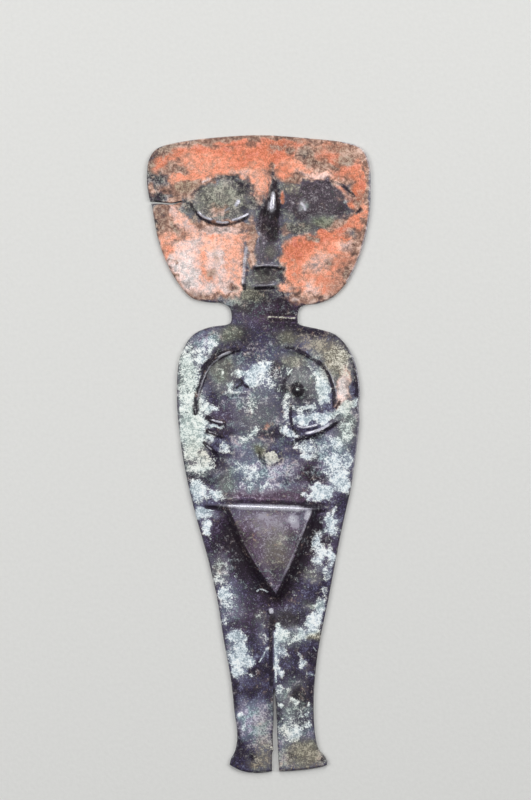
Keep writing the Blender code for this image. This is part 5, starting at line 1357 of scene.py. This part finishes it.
# What the coats follow, and the surface that they make, by the names of the shader's inputs.
Sockets = dict[Grain | Layer, bpy.types.NodeSocket]
Surface = dict[str, bpy.types.NodeSocket]


@dataclass(frozen=True)
class Spread:
    """A number that wanders between two ends, along a grain or the coat's own pattern."""

    low: float
    high: float
    grain: Grain | None = Grain.FINE     # None where it follows the coat's own pattern
    start: float = 0.3                   # where along the pattern it is at its low end
    end: float = 0.7


@dataclass(frozen=True)
class Coat:
    """One coat of the old surface: where it lies, its colours, and how it takes the light."""

    pattern: Pattern                 # what its colours run along
    colours: Stops
    metallic: Spread
    roughness: Spread
    height: Spread                   # its texture, in millimetres
    tints: tuple[tuple[Grain | Layer, Stops], ...] = ()    # what turns it to other colours
    rubbed: Point | None = None      # how dark and how light rubbing leaves it
    cover: Pattern | None = None     # where it lies on the coats below, None for the metal itself
    starts: float = 0.0              # where along its cover it starts
    whole: float = 1.0               # where it is whole
    most: float = 1.0                # how far it then hides what lies below


MOTTLED = (Grain.FINE, (0.9, 1.8, 1.3))

# Sheet silver under an old sulphide skin: plum-grey and half metallic, with soft broad glints. Its darkness
# follows the tarnish layer, so it also shows the painted shade and the lighter painted places.
TARNISHED_SHADED_SHEET = Coat(
    pattern=(Layer.TARNISH_SHADE_AND_LIGHT, (1.6, 1.8, 1.1)),
    colours=((0.0, "A5ADBE"), (0.25, "7A7F96"), (0.5, "55516E"), (0.75, "39304C"), (1.0, "1D1228")),
    tints=(
        (Layer.PLUM,
         ((0.0, "B4ACBA"), (0.25, "8D7D90"), (0.5, "624C62"), (0.75, "452C42"), (1.0, "1F0C1B"))),
        (Layer.GREEN,
         ((0.0, "A5A294"), (0.25, "7C786A"), (0.5, "545045"), (0.75, "38322F"), (1.0, "1A1517"))),
    ),
    metallic=Spread(0.5, 0.35, None, 0.1, 0.9),
    roughness=Spread(0.48, 0.62, None, 0.3, 1.1),
    height=Spread(0.0, 0.03),
)
# Thin chloride film, blue-grey to lilac, olive or khaki: cloudy, and the metal still gleams through.
CLOUDY_FILM = Coat(
    pattern=MOTTLED,
    colours=((0.25, "6A7D86"), (0.5, "97ADB5"), (0.75, "C2D8DF")),
    tints=(
        (Grain.TINT, ((0.25, "7F7A92"), (0.5, "ADA9BE"), (0.75, "D8D5E6"))),
        (Layer.GREEN, ((0.2, "50574A"), (0.5, "7D8372"), (0.8, "A8AE99"))),
        (Layer.WARM, ((0.2, "6B6154"), (0.5, "968C79"), (0.8, "BDB29D"))),
    ),
    metallic=Spread(0.05, 0.25),
    roughness=Spread(0.55, 0.75),
    height=Spread(0.0, 0.06),
    cover=(Layer.FILM, (1.0, 1.3, 0.8)),
    starts=-0.1,
    whole=1.15,
    most=0.95,
)
# Paint worn down to a stain: dull beige with a rubbed, dusty grain.
WORN_WASH = Coat(
    pattern=(Grain.SWIRL, (0.0, 0.6, 0.8, 0.6)),
    colours=((0.1, "765344"), (0.4, "A57A66"), (0.6, "C2967F"), (0.85, "DDB8A6")),
    rubbed=(0.55, 1.32),
    metallic=Spread(0.02, 0.1),
    roughness=Spread(0.6, 0.8),
    height=Spread(0.0, 0.06),
    cover=(Layer.WASH, (0.1, 0.5, 0.6, 0.6)),
    starts=-0.5,
    whole=0.6,
    most=0.95,
)
# Vermilion ground in chalk, brushed on: powdery and matt, from cream to orange-red.
VERMILION_PAINT = Coat(
    pattern=(Layer.TONE, (0.0, 0.2, 0.6, 0.9)),
    colours=((0.0, "FFF4F1"), (0.25, "F6D1C7"), (0.5, "F5AF92"), (0.75, "EC865E"), (1.0, "C25A3A")),
    rubbed=(0.6, 1.38),
    metallic=Spread(0.0, 0.02),
    roughness=Spread(0.7, 0.9),
    height=Spread(0.04, 0.1, Grain.BLOTCH),
    cover=(Layer.PAINT, (0.1, 0.4, 1.1, 1.2)),
    starts=-0.3,
    whole=0.9,
    most=0.95,
)
# Soil rubbed into the paint: brown-grey dust in specks, ochre where the surface is warm.
RUBBED_SOIL = Coat(
    pattern=MOTTLED,
    colours=((0.2, "4C4045"), (0.5, "82706E"), (0.8, "B29F9A")),
    tints=((Layer.WARM, ((0.2, "5A4A3E"), (0.5, "8F7A62"), (0.8, "BCA88A"))),),
    metallic=Spread(0.0, 0.04),
    roughness=Spread(0.7, 0.9),
    height=Spread(0.03, 0.09, Grain.BLOTCH),
    cover=(Layer.GRIME, (0.6, 1.2, 0.8, 1.2)),
    starts=0.15,
    whole=1.0,
    most=0.85,
)
# Grown corrosion crust, pale blue, mint or ochre: dry and chalky, and proud of the sheet.
PALE_CRUST = Coat(
    pattern=(Grain.FINE, (0.3, 1.5, 1.4)),
    colours=((0.2, "98A7B1"), (0.5, "DDE8EF"), (0.75, "FBFFFF")),
    tints=(
        (Layer.GREEN, ((0.2, "98A69B"), (0.5, "DCE8DA"), (0.8, "FAFEF4"))),
        (Layer.WARM, ((0.25, "A59D89"), (0.5, "CFC8B4"), (0.75, "E8E1D0"))),
    ),
    metallic=Spread(0.0, 0.02),
    roughness=Spread(0.75, 0.95),
    height=Spread(0.06, 0.16),
    cover=(Layer.CRUST, (1.4, 1.5, 1.1)),
    starts=0.2,
    whole=0.95,
)
# Silver rubbed bare on the high lines, and the painted highlights and glints: the one light, smoother metal,
# with a cool glint.
BARE_SILVER_AND_HIGHLIGHT = Coat(
    pattern=(Grain.FINE, ()),
    colours=((0.3, "B7B5C4"), (0.6, "ECEBF4")),
    metallic=Spread(0.35, 0.5),
    roughness=Spread(0.28, 0.42, Grain.BLOTCH),
    height=Spread(0.0, 0.01),
    cover=(Layer.WEAR_AND_HIGHLIGHT, (0.3, 0.5, 0.0)),
    starts=0.15,
    whole=0.9,
)


@dataclass(frozen=True)
class OldSilver:
    """Hammered sheet silver, long buried: tarnish with painted shade under film, worn paint, soil, crust, and
    bare metal that also paints the highlights.
    """

    name: str = "hammered_tarnished_silver"
    metal: Coat = TARNISHED_SHADED_SHEET
    coats: tuple[Coat, ...] = (CLOUDY_FILM, WORN_WASH, VERMILION_PAINT, RUBBED_SOIL, PALE_CRUST, BARE_SILVER_AND_HIGHLIGHT)
    noise_roughness: float = 0.7
    tint_edge: Point = (0.4, 0.6)        # how sharply the tint grain parts blue film from lilac
    rubbing: Pattern = (Grain.FINE, (0.45, 1.5, 0.8, 1.6))
    chalk: Stops = ((0.2, "2E2A2C"), (0.5, "9C9694"), (0.8, "FFFFFF"))
    chalk_share: float = 0.08            # how much dust and soot lies in a rubbed coat

    def sources(self, tree: bpy.types.NodeTree) -> Sockets:
        """Set up what the coats follow: the grains, and the layers stored in the mesh.

        Args:
            tree: the material's nodes.

        Returns:
            A socket for each grain and each layer.
        """
        place = add_node(tree, "ShaderNodeTexCoord").outputs["Object"]
        found = {}
        for grain in Grain:
            size, detail, stirred = grain.value
            found[grain] = add_node(tree, "ShaderNodeTexNoise", {
                "Vector": place, "Scale": 1 / (size * MM), "Detail": detail,
                "Roughness": self.noise_roughness, "Distortion": stirred}).outputs["Fac"]
        low, high = self.tint_edge
        found[Grain.TINT] = add_node(tree, "ShaderNodeMapRange", {0: found[Grain.TINT], 1: low, 2: high},
                                     interpolation_type="SMOOTHSTEP").outputs[0]
        for layer in Layer:
            found[layer] = add_node(tree, "ShaderNodeAttribute", attribute_name=layer.value).outputs["Fac"]
        return found

    def strayed(self, tree: bpy.types.NodeTree, found: Sockets,
                pattern: Pattern) -> bpy.types.NodeSocket:
        """Work out a pattern: a grain or layer with more grain added, each counted from its middle.

        Args:
            tree: the material's nodes.
            found: the sockets of the grains and layers.
            pattern: the grain or layer, and how much of each grain is added.

        Returns:
            The pattern's socket.
        """
        source, amounts = pattern
        value = found[source]
        for grain, amount in zip((Grain.FINE, Grain.BLOTCH, Grain.BROAD, Grain.SWIRL), amounts):
            value = add_node(tree, "ShaderNodeMath", {0: found[grain], 1: amount, 2: value},
                             operation="MULTIPLY_ADD").outputs[0]
        return add_node(tree, "ShaderNodeMath", {0: value, 1: -sum(amounts) / 2}).outputs[0]

    def coloured(self, tree: bpy.types.NodeTree, found: Sockets, coat: Coat,
                 along: bpy.types.NodeSocket) -> bpy.types.NodeSocket:
        """Colour a coat along its pattern, with its tints and its rubbed grain.

        Args:
            tree: the material's nodes.
            found: the sockets of the grains and layers.
            coat: the coat.
            along: its pattern.

        Returns:
            The colour's socket.
        """
        colour = add_node(tree, "ShaderNodeValToRGB", {0: along}, coat.colours).outputs[0]
        for source, stops in coat.tints:
            tint = add_node(tree, "ShaderNodeValToRGB", {0: along}, stops).outputs[0]
            colour = add_node(tree, "ShaderNodeMix", {0: found[source], 6: colour, 7: tint},
                              data_type="RGBA").outputs[2]
        if coat.rubbed:
            darkest, lightest = coat.rubbed
            rubbed = self.strayed(tree, found, self.rubbing)
            dust = add_node(tree, "ShaderNodeValToRGB", {0: rubbed}, self.chalk).outputs[0]
            dusty = add_node(tree, "ShaderNodeMix", {0: self.chalk_share, 6: colour, 7: dust},
                             data_type="RGBA").outputs[2]
            shade = add_node(tree, "ShaderNodeMapRange", {0: rubbed, 3: darkest, 4: lightest}).outputs[0]
            colour = add_node(tree, "ShaderNodeMix", {0: 1.0, 6: dusty, 7: shade}, data_type="RGBA",
                              blend_type="MULTIPLY").outputs[2]
        return colour

    def dressed(self, tree: bpy.types.NodeTree, found: Sockets, coat: Coat) -> Surface:
        """Work out what one coat looks like where it is whole.

        Args:
            tree: the material's nodes.
            found: the sockets of the grains and layers.
            coat: the coat.

        Returns:
            Its sockets, by the names of the inputs they go to.
        """
        along = self.strayed(tree, found, coat.pattern)
        parts = {"Base Color": self.coloured(tree, found, coat, along)}
        spreads = {"Metallic": coat.metallic, "Roughness": coat.roughness, "Height": coat.height}
        for part, spread in spreads.items():
            followed = found[spread.grain] if spread.grain else along
            parts[part] = add_node(tree, "ShaderNodeMapRange", {
                0: followed, 1: spread.start, 2: spread.end, 3: spread.low, 4: spread.high}).outputs[0]
        return parts

    def lay(self, tree: bpy.types.NodeTree, found: Sockets, coat: Coat, below: Surface) -> Surface:
        """Lay a coat over the ones below it.

        Args:
            tree: the material's nodes.
            found: the sockets of the grains and layers.
            coat: the coat.
            below: the sockets of the surface so far.

        Returns:
            The sockets of the surface with the coat on it.
        """
        cover = add_node(tree, "ShaderNodeMapRange", {
            0: self.strayed(tree, found, coat.cover), 1: coat.starts, 2: coat.whole, 4: coat.most},
            interpolation_type="SMOOTHSTEP").outputs[0]
        laid = {}
        for part, over in self.dressed(tree, found, coat).items():
            if part == "Base Color":
                laid[part] = add_node(tree, "ShaderNodeMix", {0: cover, 6: below[part], 7: over},
                                      data_type="RGBA").outputs[2]
            else:
                laid[part] = add_node(tree, "ShaderNodeMix", {0: cover, 2: below[part], 3: over}).outputs[0]
        return laid

    def build(self) -> bpy.types.Material:
        """Build the material: one shader under all the coats.

        Returns:
            The material.
        """
        material = bpy.data.materials.new(self.name)
        material.use_nodes = True
        tree = material.node_tree
        tree.nodes.clear()
        found = self.sources(tree)
        surface = self.dressed(tree, found, self.metal)
        for coat in self.coats:
            surface = self.lay(tree, found, coat, surface)
        bump = add_node(tree, "ShaderNodeBump", {
            "Height": surface.pop("Height"), "Distance": MM, "Strength": 1.0})
        shader = add_node(tree, "ShaderNodeBsdfPrincipled", {**surface, "Normal": bump.outputs[0]})
        add_node(tree, "ShaderNodeOutputMaterial", {"Surface": shader.outputs[0]})
        return material


@dataclass(frozen=True)
class BackdropPaper:
    """Matt cotton paper under the figure: pale, with a faint tooth that keeps the shadow soft."""

    name: str = "backdrop_paper"
    shades: tuple[str, str] = ("D9D9D6", "E2E2DF")
    tooth: float = 1.2           # millimetres across a fibre clump
    tooth_octaves: float = 3.0
    tooth_height: float = 0.05   # millimetres
    roughness: float = 0.9

    def build(self) -> bpy.types.Material:
        """Build the material.

        Returns:
            The material.
        """
        material = bpy.data.materials.new(self.name)
        material.use_nodes = True
        tree = material.node_tree
        tree.nodes.clear()
        place = add_node(tree, "ShaderNodeTexCoord").outputs["Object"]
        fibre = add_node(tree, "ShaderNodeTexNoise", {
            "Vector": place, "Scale": 1 / (self.tooth * MM), "Detail": self.tooth_octaves}).outputs["Fac"]
        dark, light = (linear(shade) for shade in self.shades)
        colour = add_node(tree, "ShaderNodeMix", {0: fibre, 6: dark, 7: light}, data_type="RGBA")
        bump = add_node(tree, "ShaderNodeBump", {"Height": fibre, "Distance": self.tooth_height * MM})
        shader = add_node(tree, "ShaderNodeBsdfPrincipled", {
            "Base Color": colour.outputs[2], "Roughness": self.roughness, "Normal": bump.outputs[0]})
        add_node(tree, "ShaderNodeOutputMaterial", {"Surface": shader.outputs[0]})
        return material


# ------------------------------------------------------------------------------- studio
@dataclass(frozen=True)
class Softbox:
    """A square soft lamp that faces the figure, in metres and watts."""

    place: tuple[float, float, float]
    size: float
    power: float


@dataclass(frozen=True)
class Studio:
    """Pale floor, soft lights and the camera that looks straight down on the lying figure."""

    floor_half: float = 3.0
    floor_squares: int = 8
    lamps: tuple[Softbox, ...] = (
        Softbox((-0.75, 0.15, 0.7), 0.5, 4.9),
        Softbox((0.75, 0.25, 0.7), 0.5, 4.9),
        Softbox((0.0, 0.95, 0.75), 0.6, 4.9),
    )
    room_colour: str = "F4F5F8"
    room_strength: float = 0.22
    camera_height: float = 1.2
    sensor: float = 36.0             # millimetres across the camera's sensor
    view_height: float = 0.2516      # how much of the floor's length the picture takes in
    view_centre: Point = (0.00018, 0.0169)    # what it looks down on, in metres
    lean: float = math.radians(1.6)  # the figure lies turned this far in the picture

    def build_floor(self) -> bpy.types.Object:
        """Lay the pale floor just under the figure.

        Returns:
            The floor.
        """
        mesh = bmesh.new()
        bmesh.ops.create_grid(mesh, x_segments=self.floor_squares, y_segments=self.floor_squares,
                              size=self.floor_half)
        data = bpy.data.meshes.new("floor")
        mesh.to_mesh(data)
        mesh.free()
        data.materials.append(BackdropPaper().build())
        floor = bpy.data.objects.new("floor", data)
        bpy.context.scene.collection.objects.link(floor)
        return floor

    def build_lights(self) -> None:
        """Hang the soft lamps and fill the room with even light."""
        for i, softbox in enumerate(self.lamps):
            lamp = bpy.data.lights.new(f"softbox_{i}", "AREA")
            lamp.size = softbox.size
            lamp.energy = softbox.power
            holder = bpy.data.objects.new(f"softbox_{i}", lamp)
            holder.location = softbox.place
            holder.rotation_euler = (-Vector(softbox.place)).to_track_quat("-Z", "Y").to_euler()
            bpy.context.scene.collection.objects.link(holder)
        world = bpy.data.worlds.new("studio_room")
        world.use_nodes = True
        background = world.node_tree.nodes["Background"]
        background.inputs["Color"].default_value = linear(self.room_colour)
        background.inputs["Strength"].default_value = self.room_strength
        bpy.context.scene.world = world

    def build_camera(self) -> bpy.types.Object:
        """Set the camera over the figure, looking straight down.

        Returns:
            The camera.
        """
        lens = bpy.data.cameras.new("camera")
        lens.sensor_width = self.sensor
        lens.lens = self.camera_height * lens.sensor_width / self.view_height
        camera = bpy.data.objects.new("camera", lens)
        camera.location = (*self.view_centre, self.camera_height)
        camera.rotation_euler = (0.0, 0.0, -self.lean)
        bpy.context.scene.collection.objects.link(camera)
        bpy.context.scene.camera = camera
        return camera


def main() -> None:
    """Build the figure and the studio round it."""
    logging.basicConfig(level=logging.INFO, format="%(name)s: %(message)s")
    studio = Studio()
    studio.build_floor()
    studio.build_lights()
    studio.build_camera()
    figure = HammeredFigure()
    piece = figure.build()
    piece.data.materials.append(OldSilver().build())
    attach(piece, "root")
    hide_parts(NODE)
    LOG.info("%s: %d faces", piece.name, len(piece.data.polygons))
    bpy.context.scene.view_settings.view_transform = "Standard"


if __name__ == "__main__":
    main()
